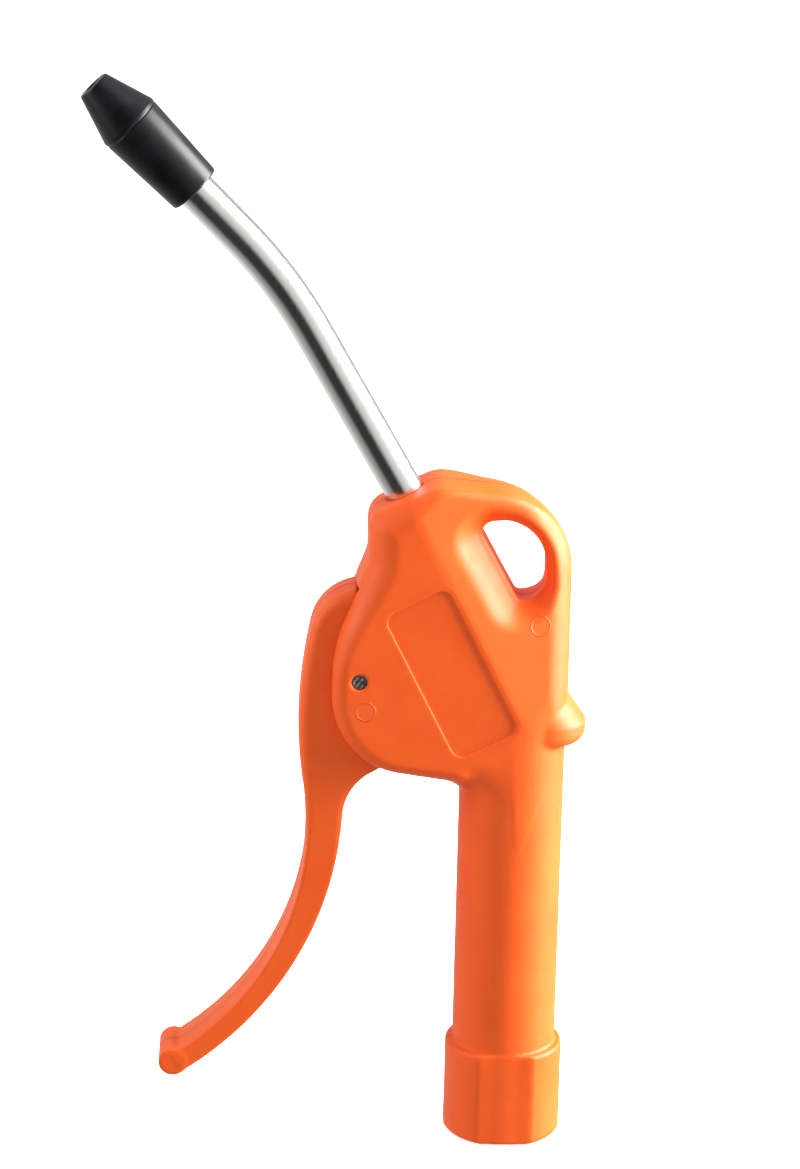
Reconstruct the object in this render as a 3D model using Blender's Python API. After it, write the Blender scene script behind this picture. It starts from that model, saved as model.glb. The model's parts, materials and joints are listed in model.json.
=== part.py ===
"""Air blow gun: a one-piece moulded body with a lever in a slot, a push valve behind it,
a bent nozzle tube with a rubber tip, and a brass G1/4 inlet at the foot of the handle.

Sizes are in millimetres and become metres where a mesh is made. Z runs up the handle's axis
from the inlet face, +X is the back of the hand side, and the mould's parting plane is Y = 0.
Two slanted axes do the rest. The tube axis leans TUBE_TILT towards the lever and crosses the
handle's axis TUBE_FOOT up; the valve axis is square to it. A point in that slanted frame is
(up, back): up along the tube axis from the crossing, and back along the valve direction.
"""

import math

import bmesh
import bpy
from mathutils import Matrix, Vector

MM = 0.001

# The slanted frame
TUBE_TILT = math.radians(30.0)
TUBE_FOOT = 101.1
UP_TUBE = Vector((-math.sin(TUBE_TILT), 0.0, math.cos(TUBE_TILT)))
ALONG_VALVE = Vector((math.cos(TUBE_TILT), 0.0, math.sin(TUBE_TILT)))

# Clearances, each one a gap on the radius or between two faces
PRESS_GAP = 0.15
RUNNING_GAP = 0.2
SEAT_GAP = 0.2
SIDE_GAP = 0.3

# Handle and collar
HANDLE_RADIUS = 11.0
HANDLE_TOP = 93.0
COLLAR_RADIUS = HANDLE_RADIUS + 1.5
COLLAR_HEIGHT = 20.5
COLLAR_EDGE = 0.8
WRENCH_FLAT_OUT = HANDLE_RADIUS + 0.02
HANDLE_BORE_RADIUS = 6.5
HANDLE_BORE_TOP = 86.0

# Inlet insert, G1/4 female
THREAD_MINOR_RADIUS = 5.72
THREAD_MAJOR_RADIUS = 6.58
INSERT_RADIUS = THREAD_MAJOR_RADIUS + 1.82
INSERT_LENGTH = 14.0
INSERT_RECESS = 0.6

# Head: a plate as thick as the handle whose back slopes down to a thin strap round the eye
HEAD_HALF_WIDTH = HANDLE_RADIUS + 0.1
HEAD_EDGE = 3.0
BACK_X = HANDLE_RADIUS + 0.25
CHEEK_X = -38.6
MOUTH_UP = 48.8
NECK_FOOT_RADIUS = HEAD_HALF_WIDTH + 2.1
NECK_MOUTH_RADIUS = 10.2
STRAP_RADIUS = 20.4
SLOPE_ANGLE = math.radians(15.0)
SLOPE_END_HALF_WIDTH = 4.8

# Label recess, turned LABEL_TILT from the vertical
LABEL_CENTRE = (-13.65, 106.3)
LABEL_TILT = math.radians(27.0)
LABEL_WIDTH = 14.6
LABEL_LENGTH = 35.0
LABEL_CORNER = 2.5
LABEL_DEPTH = 0.4
CREASE_MARGIN = 0.9

# Lever slot and pivot
SLOT_FLOOR_BACK = -15.0
SLOT_BOTTOM_UP = -4.6
SLOT_ROOF_GAP = 0.8
PIVOT_UP = 19.2
PIVOT_BACK = -26.7
PIN_RADIUS = 1.5
PIN_RECESS = 0.3

# Lever
LEVER_HALF_WIDTH = 6.2
LEVER_EDGE = 1.0
LEVER_HEAD_RADIUS = 11.0
LEVER_FRONT_RADIUS = 95.9
LEVER_SWEEP_RADIUS = 61.2
LEVER_INNER_RADIUS = 75.3
LEVER_CROTCH_RADIUS = 11.4
LEVER_FRONT_CENTRE = (50.7, 93.5)
LEVER_SWEEP_CENTRE = (-104.6, 69.9)
LEVER_INNER_CENTRE = (-110.4, 76.5)
LEVER_CROTCH_CENTRE = (-24.0, 72.2)
LEVER_HEAD_CENTRE = (-32.2, 111.5)
BEAD_CENTRE = (-71.0, 16.4)
BEAD_RADIUS = 3.05
PAD_BACK = -23.0

# Valve, along the valve direction from where its axis meets the tube axis
VALVE_UP = 6.5
VALVE_BORE_RADIUS = 5.2
VALVE_BORE_END = 3.2
CHAMBER_RADIUS = VALVE_BORE_RADIUS - 0.8
CHAMBER_END = 11.0
SPRING_POCKET_END = 13.0
GLAND_FRONT = -14.8
GLAND_LENGTH = 2.3
GLAND_BORE_RADIUS = 1.75
SLEEVE_END = 3.0
SLEEVE_GUIDE_END = -5.6
SLEEVE_WAIST = (-5.0, -0.2)
RING_WIRE_RADIUS = 0.6
FRONT_GROOVE_BACK = -8.6
REAR_GROOVE_BACK = 1.35
STEM_TIP_RADIUS = 1.5
STEM_GUIDE_RADIUS = 2.3
SLEEVE_GUIDE_RADIUS = STEM_GUIDE_RADIUS + RUNNING_GAP
SLEEVE_FLOW_RADIUS = SLEEVE_GUIDE_RADIUS + 0.4
SLEEVE_WAIST_RADIUS = SLEEVE_FLOW_RADIUS + 1.0
STEM_SHANK_RADIUS = 1.2
STEM_HEAD_RADIUS = SLEEVE_FLOW_RADIUS + 0.5
STEM_HEAD_LENGTH = 1.2
STEM_RING_BACK = -9.2
STEM_RING_WIRE = 0.45
SEAL_THICKNESS = 0.8
SPRING_RADIUS = 2.6
SPRING_WIRE_RADIUS = 0.3
SPRING_POCKET_RADIUS = SPRING_RADIUS + SPRING_WIRE_RADIUS + 0.4
SPRING_TURNS = 4.5

# Air passages
INLET_PASSAGE_X = 4.3
INLET_PASSAGE_RADIUS = 2.1
OUTLET_PASSAGE_BACK = -2.6
OUTLET_PASSAGE_RADIUS = 1.9
CROSS_PORT_RADIUS = 1.4

# Nozzle tube
TUBE_RADIUS = 4.0
TUBE_BORE_RADIUS = TUBE_RADIUS - 0.9
TUBE_START_UP = 24.0
TUBE_BEND_UP = 86.6
TUBE_BEND_RADIUS = 100.0
TUBE_BEND_ANGLE = math.radians(14.6)
TUBE_UPPER_LENGTH = 29.5
TUBE_WELL_BOTTOM = 17.0
BUSH_RADIUS = TUBE_RADIUS + 1.4
BUSH_LENGTH = 15.0
TUBE_RING_WIRE = 0.7

# Rubber tip, along the upper stretch of the tube
TIP_START = 12.5
TIP_LENGTH = 29.3
TIP_SHOULDER = 19.2
TIP_OPEN_RADIUS = TUBE_RADIUS + 1.65
TIP_SHOULDER_RADIUS = TIP_OPEN_RADIUS + 0.95
TIP_FACE_RADIUS = 3.4
TIP_HOLE_RADIUS = 1.65
TIP_EDGE = 0.6

# Eye, a D-shaped hanging hole
EYE_CORNERS = ((-9.3, 137.4, 2.2), (5.5, 137.4, 9.5), (5.7, 120.6, 4.6), (-0.1, 120.6, 1.6))
EYE_THROAT_HALF = 4.6
EYE_FLARE = 2.2

# Spur, the hand stop on the back of the handle
SPUR_TOP = 102.0
SPUR_SHOULDER = 93.6
SPUR_BOTTOM = 89.0
SPUR_REACH = 4.3
SPUR_RADIUS = HANDLE_RADIUS - 0.05
SPUR_EDGE = 1.5

ROUND_STEPS = 48
SMALL_STEPS = 28


def slanted(up, back):
    """World (x, z) of a point in the slanted frame."""
    point = UP_TUBE * up + ALONG_VALVE * back
    return point.x, TUBE_FOOT + point.z


def axis_matrix(xz, lean):
    """Local +Z leaned by an angle towards +X, with the origin at (x, 0, z)."""
    return Matrix.Translation((xz[0] * MM, 0.0, xz[1] * MM)) @ Matrix.Rotation(lean, 4, "Y")


VALVE_ORIGIN = slanted(VALVE_UP, 0.0)
VALVE_LEAN = math.pi / 2 - TUBE_TILT
PIVOT = slanted(PIVOT_UP, PIVOT_BACK)
VALVE_MATRIX = axis_matrix(VALVE_ORIGIN, VALVE_LEAN)
TUBE_MATRIX = axis_matrix((0.0, TUBE_FOOT), -TUBE_TILT)
STEM_TIP_BACK = PAD_BACK + SIDE_GAP
SEAT_BACK = SLEEVE_END
HEAD_BACK = SEAT_BACK + SEAT_GAP + SEAL_THICKNESS + SEAT_GAP / 2
GLAND_BACK = GLAND_FRONT + GLAND_LENGTH
SLEEVE_FRONT = GLAND_BACK + SEAT_GAP
BUSH_START = TUBE_START_UP + 3.0
BUSH_END = BUSH_START + BUSH_LENGTH
RING_CENTRE_RADIUS = VALVE_BORE_RADIUS - 0.1 - RING_WIRE_RADIUS


def clear_scene():
    for obj in list(bpy.data.objects):
        bpy.data.objects.remove(obj, do_unlink=True)


def material(name, colour, roughness, metallic=0.0):
    made = bpy.data.materials.new(name)
    made.use_nodes = True
    shader = made.node_tree.nodes["Principled BSDF"]
    shader.inputs["Base Color"].default_value = (*colour, 1.0)
    shader.inputs["Roughness"].default_value = roughness
    shader.inputs["Metallic"].default_value = metallic
    made.diffuse_color = (*colour, 1.0)
    return made


def place(name, bm, matrix, finish):
    """Turn a bmesh in millimetres into an object in metres, standing at a matrix."""
    bmesh.ops.scale(bm, vec=(MM, MM, MM), verts=bm.verts)
    bmesh.ops.recalc_face_normals(bm, faces=bm.faces)
    mesh = bpy.data.meshes.new(name)
    bm.to_mesh(mesh)
    bm.free()
    for face in mesh.polygons:
        face.use_smooth = True
    obj = bpy.data.objects.new(name, mesh)
    bpy.context.scene.collection.objects.link(obj)
    obj.matrix_world = matrix
    if finish:
        mesh.materials.append(finish)
    else:
        obj.hide_render = True
        obj.display_type = "WIRE"
    return obj


def lathe(name, profile, matrix, finish=None, steps=ROUND_STEPS):
    """Spin a closed profile of (radius, height) points about the local Z axis."""
    bm = bmesh.new()
    verts = [bm.verts.new((radius, 0.0, height)) for radius, height in profile]
    edges = [bm.edges.new(pair) for pair in zip(verts, verts[1:] + verts[:1])]
    bmesh.ops.spin(
        bm, geom=verts + edges, cent=(0, 0, 0), axis=(0, 0, 1), angle=math.tau, steps=steps, use_merge=True
    )
    bmesh.ops.remove_doubles(bm, verts=bm.verts, dist=1e-4)
    on_axis = [edge for edge in bm.edges if not edge.link_faces]
    bmesh.ops.delete(bm, geom=on_axis, context="EDGES")
    return place(name, bm, matrix, finish)


def ring(name, radius, wire, back, matrix, finish):
    """An O-ring: a round wire spun about the local Z axis."""
    section = []
    for step in range(8):
        angle = math.tau * step / 8
        section.append((radius + wire * math.cos(angle), back + wire * math.sin(angle)))
    return lathe(name, section, matrix, finish, SMALL_STEPS)


def rod(name, radius, start, end, matrix, finish=None, steps=ROUND_STEPS):
    return lathe(name, [(0, start), (radius, start), (radius, end), (0, end)], matrix, finish, steps)


def arc(centre, radius, start, end, steps):
    """Points on an arc in the XZ plane, both ends included; angles in degrees."""
    points = []
    for step in range(steps + 1):
        angle = math.radians(start + (end - start) * step / steps)
        points.append((centre[0] + radius * math.cos(angle), centre[1] + radius * math.sin(angle)))
    return points


def rounded(corners, step_degrees=9.0):
    """Closed outline through (x, z, radius) corners, each one cut by a tangent arc."""
    points = []
    count = len(corners)
    for index, (x, z, radius) in enumerate(corners):
        here = Vector((x, z))
        to_last = (Vector(corners[index - 1][:2]) - here).normalized()
        to_next = (Vector(corners[(index + 1) % count][:2]) - here).normalized()
        turn = math.pi - to_last.angle(to_next)
        if radius <= 0:
            points.append((x, z))
            continue
        bisector = (to_last + to_next).normalized()
        middle = here + bisector * (radius / math.cos(turn / 2))
        first = here + to_last * (radius * math.tan(turn / 2)) - middle
        steps = max(1, round(math.degrees(turn) / step_degrees))
        side = 1.0 if to_last.x * to_next.y - to_last.y * to_next.x < 0 else -1.0
        for step in range(steps + 1):
            swing = Matrix.Rotation(side * turn * step / steps, 2)
            points.append(tuple(middle + swing @ first))
    return points


def grown(corners, distance):
    """The same corners with every side moved out by a distance, and the arcs grown to match."""
    moved = []
    count = len(corners)
    for index, (x, z, radius) in enumerate(corners):
        here = Vector((x, z))
        to_last = (Vector(corners[index - 1][:2]) - here).normalized()
        to_next = (Vector(corners[(index + 1) % count][:2]) - here).normalized()
        half = to_last.angle(to_next) / 2
        away = here - (to_last + to_next).normalized() * (distance / math.sin(half))
        moved.append((away.x, away.y, radius + distance))
    return moved


def slab(name, outline, low, high, finish=None, matrix=None):
    """Extrude an XZ outline between two values of Y."""
    bm = bmesh.new()
    near = [bm.verts.new((x, low, z)) for x, z in outline]
    far = [bm.verts.new((x, high, z)) for x, z in outline]
    bm.faces.new(near)
    bm.faces.new(far)
    for index in range(len(outline)):
        after = (index + 1) % len(outline)
        bm.faces.new((near[index], near[after], far[after], far[index]))
    return place(name, bm, matrix or Matrix(), finish)


def loft(name, sections, finish=None):
    """Bridge closed rings of points, one after another, and cap both ends."""
    bm = bmesh.new()
    rings = [[bm.verts.new(point) for point in section] for section in sections]
    for lower, upper in zip(rings, rings[1:]):
        for index in range(len(lower)):
            after = (index + 1) % len(lower)
            bm.faces.new((lower[index], lower[after], upper[after], upper[index]))
    bm.faces.new(rings[0])
    bm.faces.new(rings[-1])
    return place(name, bm, Matrix(), finish)


def boolean(obj, other, operation="DIFFERENCE"):
    modifier = obj.modifiers.new(other.name, "BOOLEAN")
    modifier.operation = operation
    modifier.solver = "EXACT"
    modifier.object = other


def cut_all(obj, cutters):
    """Take every cutter away in one Boolean, so that cutters may overlap each other."""
    group = bpy.data.collections.new(f"cutters_{obj.name}")
    bpy.context.scene.collection.children.link(group)
    for cutter in cutters:
        group.objects.link(cutter)
    modifier = obj.modifiers.new(group.name, "BOOLEAN")
    modifier.operation = "DIFFERENCE"
    modifier.solver = "EXACT"
    modifier.operand_type = "COLLECTION"
    modifier.collection = group


def bevel(obj, width, segments, limit=50.0):
    modifier = obj.modifiers.new("edges", "BEVEL")
    modifier.width = width * MM
    modifier.segments = segments
    modifier.limit_method = "ANGLE"
    modifier.angle_limit = math.radians(limit)


def sweep(name, path, section_radius, bore_radius, steps, finish, matrix=None):
    """Carry a circle, or a ring when there is a bore, along a path of 3D points."""
    bm = bmesh.new()
    side = Vector((0.0, 1.0, 0.0))
    outer = []
    inner = []
    for index, point in enumerate(path):
        ahead = path[min(index + 1, len(path) - 1)] - path[max(index - 1, 0)]
        ahead.normalize()
        across = (side - ahead * side.dot(ahead)).normalized()
        side = across
        other = ahead.cross(across)
        for rings, radius in ((outer, section_radius), (inner, bore_radius)):
            turned = []
            for step in range(steps):
                angle = math.tau * step / steps
                spoke = across * math.cos(angle) + other * math.sin(angle)
                turned.append(bm.verts.new(point + spoke * radius) if radius else None)
            rings.append(turned)
    walls = [outer, inner] if bore_radius else [outer]
    for rings in walls:
        for lower, upper in zip(rings, rings[1:]):
            for index in range(steps):
                after = (index + 1) % steps
                bm.faces.new((lower[index], lower[after], upper[after], upper[index]))
    for end in (0, -1):
        if not bore_radius:
            bm.faces.new(outer[end])
            continue
        for index in range(steps):
            after = (index + 1) % steps
            bm.faces.new((outer[end][index], outer[end][after], inner[end][after], inner[end][index]))
    return place(name, bm, matrix or Matrix(), finish)


# Body


def head_outline():
    """Head seen from the side: cheeks, neck, tube mouth, strap over the eye, and foot."""
    mouth_left = slanted(MOUTH_UP, -8.2)
    mouth_right = slanted(MOUTH_UP, 7.0)
    return rounded(
        (
            (*mouth_left, 4.0),
            (*mouth_right, 4.0),
            (BACK_X, 141.25, STRAP_RADIUS),
            (BACK_X, 90.5, 1.0),
            (1.5, 64.0, 2.0),
            (-9.5, 70.5, 1.0),
            (-11.3, 80.8, 3.5),
            (CHEEK_X, 86.0, 18.0),
            (CHEEK_X - 0.1, 111.0, 40.0),
            (-31.4, 129.5, 8.0),
        )
    )


def crease_frame():
    """Origin on the line where the flat side turns into the slope, local X down the slope."""
    out = Vector((math.cos(LABEL_TILT), 0.0, math.sin(LABEL_TILT)))
    origin = Vector((LABEL_CENTRE[0], 0.0, LABEL_CENTRE[1])) + out * (LABEL_WIDTH / 2 + CREASE_MARGIN)
    return Matrix.Translation(origin * MM) @ Matrix.Rotation(-LABEL_TILT, 4, "Y")


def slope_cutter(name, side):
    """Wedge that takes the back of the head down from full width to the strap's width."""
    drop = math.tan(SLOPE_ANGLE)
    run = (HEAD_HALF_WIDTH - SLOPE_END_HALF_WIDTH) / drop
    outside = HEAD_HALF_WIDTH + 9.0
    section = (
        (-8.0, HEAD_HALF_WIDTH + 8.0 * drop),
        (run, SLOPE_END_HALF_WIDTH),
        (60.0, SLOPE_END_HALF_WIDTH),
        (60.0, outside),
        (-8.0, outside),
    )
    bm = bmesh.new()
    ends = [[bm.verts.new((x, side * y, z)) for x, y in section] for z in (-70.0, 70.0)]
    bm.faces.new(ends[0])
    bm.faces.new(ends[1])
    for index in range(len(section)):
        after = (index + 1) % len(section)
        bm.faces.new((ends[0][index], ends[0][after], ends[1][after], ends[1][index]))
    return place(name, bm, crease_frame(), None)


def neck_trim():
    """What has to go so that the neck is a round taper about the tube axis."""
    low = MOUTH_UP - 12.0
    high = MOUTH_UP + 6.0
    corners = (slanted(low, -20.0), slanted(high, -20.0), slanted(high, 7.5), slanted(low, 7.5))
    trim = slab("cut_neck", corners, -HEAD_HALF_WIDTH - 5.0, HEAD_HALF_WIDTH + 5.0)
    core = ((0.0, low - 9.0), (NECK_FOOT_RADIUS, low - 9.0), (NECK_MOUTH_RADIUS, high + 1.0), (0.0, high + 1.0))
    boolean(trim, lathe("cut_neck_core", core, TUBE_MATRIX))
    return trim


def handle():
    profile = (
        (0.0, 0.0),
        (COLLAR_RADIUS - COLLAR_EDGE, 0.0),
        (COLLAR_RADIUS, COLLAR_EDGE),
        (COLLAR_RADIUS, COLLAR_HEIGHT - COLLAR_EDGE),
        (COLLAR_RADIUS - COLLAR_EDGE, COLLAR_HEIGHT),
        (HANDLE_RADIUS, COLLAR_HEIGHT),
        (HANDLE_RADIUS, HANDLE_TOP),
        (0.0, HANDLE_TOP),
    )
    made = lathe("add_handle", profile, Matrix())
    for side in (-1, 1):
        edges = sorted((side * WRENCH_FLAT_OUT, side * (COLLAR_RADIUS + 5.0)))
        square = ((-20.0, -5.0), (20.0, -5.0), (20.0, COLLAR_HEIGHT + 5.0), (-20.0, COLLAR_HEIGHT + 5.0))
        boolean(made, slab(f"cut_wrench_flat_{side}", square, *edges))
    return made


def spur():
    """Oblique round boss that grows out of the handle's back and ends in a rounded shelf."""
    levels = (
        (SPUR_TOP, 0.0, 0.0),
        (SPUR_SHOULDER, SPUR_REACH, 0.0),
        (SPUR_BOTTOM + SPUR_EDGE, SPUR_REACH, 0.0),
        (SPUR_BOTTOM + 0.4 * SPUR_EDGE, SPUR_REACH - 0.1, 0.3 * SPUR_EDGE),
        (SPUR_BOTTOM, SPUR_REACH - 0.3, SPUR_EDGE),
    )
    sections = []
    for height, shift, inset in levels:
        circle = arc((shift, 0.0), SPUR_RADIUS - inset, 0.0, 360.0, ROUND_STEPS)[:-1]
        sections.append([(x, y, height) for x, y in circle])
    return loft("add_spur", sections)


def eye_cutter():
    """The hanging hole, straight in the middle and flared to both faces."""
    outside = HEAD_HALF_WIDTH + 3.0
    levels = (
        (-outside, 1.35),
        (-9.0, 1.0),
        (-EYE_THROAT_HALF - 0.9, 0.28),
        (-EYE_THROAT_HALF, 0.0),
        (EYE_THROAT_HALF, 0.0),
        (EYE_THROAT_HALF + 0.9, 0.28),
        (9.0, 1.0),
        (outside, 1.35),
    )
    sections = []
    for depth, share in levels:
        outline = rounded(grown(EYE_CORNERS, EYE_FLARE * share), 12.0)
        sections.append([(x, depth, z) for x, z in outline])
    return loft("cut_eye", sections)


def label_cutter(name, side):
    half_width = LABEL_WIDTH / 2
    half_length = LABEL_LENGTH / 2
    turn = Matrix.Rotation(LABEL_TILT, 2)
    corners = []
    for x, z in ((-1, -1), (1, -1), (1, 1), (-1, 1)):
        corner = turn @ Vector((x * half_width, z * half_length))
        corners.append((LABEL_CENTRE[0] + corner.x, LABEL_CENTRE[1] + corner.y, LABEL_CORNER))
    depths = sorted((side * (HEAD_HALF_WIDTH - LABEL_DEPTH), side * (HEAD_HALF_WIDTH + 3.0)))
    return slab(name, rounded(corners, 22.5), *depths)


def slot_cutter():
    """Room for the lever between the cheeks, open to the front and below."""
    roof = PIVOT[1] + math.dist(PIVOT, arc(LEVER_HEAD_CENTRE, LEVER_HEAD_RADIUS, 90, 90, 1)[0]) + SLOT_ROOF_GAP
    floor_slope = math.tan(TUBE_TILT)
    floor_foot = slanted(SLOT_BOTTOM_UP, SLOT_FLOOR_BACK)
    floor_top_x = floor_foot[0] - (roof - floor_foot[1]) * floor_slope
    lip = slanted(SLOT_BOTTOM_UP, -34.0)
    half = LEVER_HALF_WIDTH + SIDE_GAP
    outline = rounded(
        (
            (-60.0, roof, 0),
            (floor_top_x, roof, 1.5),
            (*floor_foot, 1.5),
            (*lip, 0),
            (-60.0, lip[1] - 20.0, 0),
        ),
        22.5,
    )
    return slab("cut_slot", outline, -half, half)


def valve_cutter():
    profile = (
        (0.0, SLOT_FLOOR_BACK - 6.0),
        (VALVE_BORE_RADIUS, SLOT_FLOOR_BACK - 6.0),
        (VALVE_BORE_RADIUS, VALVE_BORE_END),
        (CHAMBER_RADIUS, VALVE_BORE_END),
        (CHAMBER_RADIUS, CHAMBER_END),
        (SPRING_POCKET_RADIUS, CHAMBER_END),
        (SPRING_POCKET_RADIUS, SPRING_POCKET_END),
        (0.0, SPRING_POCKET_END),
    )
    return lathe("cut_valve", profile, VALVE_MATRIX)


def tube_well_cutter():
    """Bore for the tube, with the wider pocket that the moulded-in bush fills."""
    hole = TUBE_RADIUS + PRESS_GAP
    pocket = BUSH_RADIUS + PRESS_GAP
    profile = (
        (0.0, TUBE_WELL_BOTTOM),
        (TUBE_BORE_RADIUS - 0.3, TUBE_WELL_BOTTOM),
        (TUBE_BORE_RADIUS - 0.3, TUBE_START_UP - 1.8),
        (hole, TUBE_START_UP - 1.8),
        (hole, BUSH_START - SEAT_GAP),
        (pocket, BUSH_START - SEAT_GAP),
        (pocket, BUSH_END + SEAT_GAP),
        (hole, BUSH_END + SEAT_GAP),
        (hole, MOUTH_UP - 1.0),
        (hole + 1.0, MOUTH_UP + 0.01),
        (hole + 1.0, MOUTH_UP + 10.0),
        (0.0, MOUTH_UP + 10.0),
    )
    return lathe("cut_tube_well", profile, TUBE_MATRIX)


def outlet_passage_cutter():
    origin = slanted(0.0, OUTLET_PASSAGE_BACK)
    reach = (VALVE_UP, TUBE_WELL_BOTTOM + 1.0)
    return rod("cut_outlet", OUTLET_PASSAGE_RADIUS, *reach, axis_matrix(origin, -TUBE_TILT), None, 20)


def inlet_passage_cutter():
    back = (INLET_PASSAGE_X - VALVE_ORIGIN[0]) / math.cos(TUBE_TILT)
    top = slanted(VALVE_UP, back)[1]
    reach = (HANDLE_BORE_TOP - 1.0, top)
    return rod("cut_inlet", INLET_PASSAGE_RADIUS, *reach, axis_matrix((INLET_PASSAGE_X, 0.0), 0.0), None, 20)


def handle_bore_cutter():
    pocket = INSERT_RADIUS + PRESS_GAP
    pocket_top = INSERT_RECESS + INSERT_LENGTH + SEAT_GAP
    profile = (
        (0.0, -5.0),
        (pocket, -5.0),
        (pocket, pocket_top),
        (HANDLE_BORE_RADIUS, pocket_top),
        (HANDLE_BORE_RADIUS, HANDLE_BORE_TOP),
        (0.0, HANDLE_BORE_TOP),
    )
    return lathe("cut_handle_bore", profile, Matrix())


def cross_rod(name, centre, radius, half_length, steps=SMALL_STEPS):
    """A rod across the body, along Y."""
    matrix = axis_matrix(centre, 0.0) @ Matrix.Rotation(math.pi / 2, 4, "X")
    return rod(name, radius, -half_length, half_length, matrix, None, steps)


def make_body(finish):
    body = slab("body", head_outline(), -HEAD_HALF_WIDTH, HEAD_HALF_WIDTH, finish)
    for side, name in ((-1, "cut_slope_left"), (1, "cut_slope_right")):
        boolean(body, slope_cutter(name, side))
    bevel(body, HEAD_EDGE, 3)
    boolean(body, neck_trim())
    boolean(body, handle(), "UNION")
    boolean(body, spur(), "UNION")
    cutters = [slot_cutter(), valve_cutter(), outlet_passage_cutter(), inlet_passage_cutter()]
    cutters += [tube_well_cutter(), eye_cutter(), handle_bore_cutter()]
    cutters += [label_cutter("cut_label_left", -1), label_cutter("cut_label_right", 1)]
    cutters += [cross_rod("cut_pin_hole", PIVOT, PIN_RADIUS + PRESS_GAP, HEAD_HALF_WIDTH + 5.0)]
    cut_all(body, cutters)
    return body


# Pieces that stay put in the body


def make_inlet_insert(finish):
    """Brass insert with a threaded hole; the grooves outside grip the moulding."""
    low = INSERT_RECESS
    high = INSERT_RECESS + INSERT_LENGTH
    groove = INSERT_RADIUS - 0.5
    third = INSERT_LENGTH / 3
    profile = (
        (THREAD_MAJOR_RADIUS + 0.2, low),
        (INSERT_RADIUS, low),
        (INSERT_RADIUS, low + third - 0.6),
        (groove, low + third),
        (groove, low + third + 1.0),
        (INSERT_RADIUS, low + third + 1.6),
        (INSERT_RADIUS, low + 2 * third - 0.6),
        (groove, low + 2 * third),
        (groove, low + 2 * third + 1.0),
        (INSERT_RADIUS, low + 2 * third + 1.6),
        (INSERT_RADIUS, high),
        (THREAD_MINOR_RADIUS - 0.4, high),
        (THREAD_MINOR_RADIUS - 0.4, high - 1.5),
        (THREAD_MINOR_RADIUS, high - 1.5),
        (THREAD_MINOR_RADIUS, low + 1.0),
    )
    return lathe("inlet_insert", profile, Matrix(), finish, 40)


def make_sleeve(finish):
    """Valve sleeve: stem guide in front, flow space and seat behind, grooves for two O-rings."""
    outer = VALVE_BORE_RADIUS - RUNNING_GAP
    floor = RING_CENTRE_RADIUS - RING_WIRE_RADIUS - 0.15
    half = RING_WIRE_RADIUS + 0.2
    seat_lip = SLEEVE_FLOW_RADIUS + 0.3
    profile = (
        (SLEEVE_GUIDE_RADIUS, SLEEVE_FRONT),
        (outer, SLEEVE_FRONT),
        (outer, FRONT_GROOVE_BACK - half),
        (floor, FRONT_GROOVE_BACK - half),
        (floor, FRONT_GROOVE_BACK + half),
        (outer, FRONT_GROOVE_BACK + half),
        (outer, SLEEVE_WAIST[0]),
        (SLEEVE_WAIST_RADIUS, SLEEVE_WAIST[0]),
        (SLEEVE_WAIST_RADIUS, SLEEVE_WAIST[1]),
        (outer, SLEEVE_WAIST[1]),
        (outer, REAR_GROOVE_BACK - half),
        (floor, REAR_GROOVE_BACK - half),
        (floor, REAR_GROOVE_BACK + half),
        (outer, REAR_GROOVE_BACK + half),
        (outer, SEAT_BACK - 0.6),
        (outer - 0.6, SEAT_BACK - 0.6),
        (seat_lip, SEAT_BACK),
        (SLEEVE_FLOW_RADIUS, SEAT_BACK),
        (SLEEVE_FLOW_RADIUS, SLEEVE_GUIDE_END),
        (SLEEVE_GUIDE_RADIUS, SLEEVE_GUIDE_END),
    )
    sleeve = lathe("valve_sleeve", profile, VALVE_MATRIX, finish, 36)
    port_back = sum(SLEEVE_WAIST) / 2
    across = VALVE_MATRIX @ Matrix.Translation((0, 0, port_back * MM))
    for name, lean in (("cut_port_y", (math.pi / 2, "X")), ("cut_port_x", (math.pi / 2, "Y"))):
        reach = VALVE_BORE_RADIUS + 2.0
        matrix = across @ Matrix.Rotation(lean[0], 4, lean[1])
        boolean(sleeve, rod(name, CROSS_PORT_RADIUS, -reach, reach, matrix, None, 16))
    return sleeve


def make_gland(finish):
    """Retaining nut behind the lever, with a hexagon socket round the stem hole."""
    outer = VALVE_BORE_RADIUS - RUNNING_GAP
    profile = (
        (GLAND_BORE_RADIUS, GLAND_FRONT),
        (outer - 0.4, GLAND_FRONT),
        (outer, GLAND_FRONT + 0.4),
        (outer, GLAND_BACK),
        (GLAND_BORE_RADIUS, GLAND_BACK),
    )
    gland = lathe("valve_gland_nut", profile, VALVE_MATRIX, finish)
    boolean(gland, rod("cut_gland_hex", 3.4, GLAND_FRONT - 1.0, GLAND_FRONT + 1.2, VALVE_MATRIX, None, 6))
    return gland


def make_bush(finish):
    inner = TUBE_RADIUS + PRESS_GAP
    groove = BUSH_RADIUS - 0.5
    middle = (BUSH_START + BUSH_END) / 2
    profile = (
        (inner, BUSH_START),
        (BUSH_RADIUS, BUSH_START),
        (BUSH_RADIUS, middle - 2.0),
        (groove, middle - 1.2),
        (groove, middle + 1.2),
        (BUSH_RADIUS, middle + 2.0),
        (BUSH_RADIUS, BUSH_END),
        (inner, BUSH_END),
    )
    return lathe("tube_bush", profile, TUBE_MATRIX, finish, 36)


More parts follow.
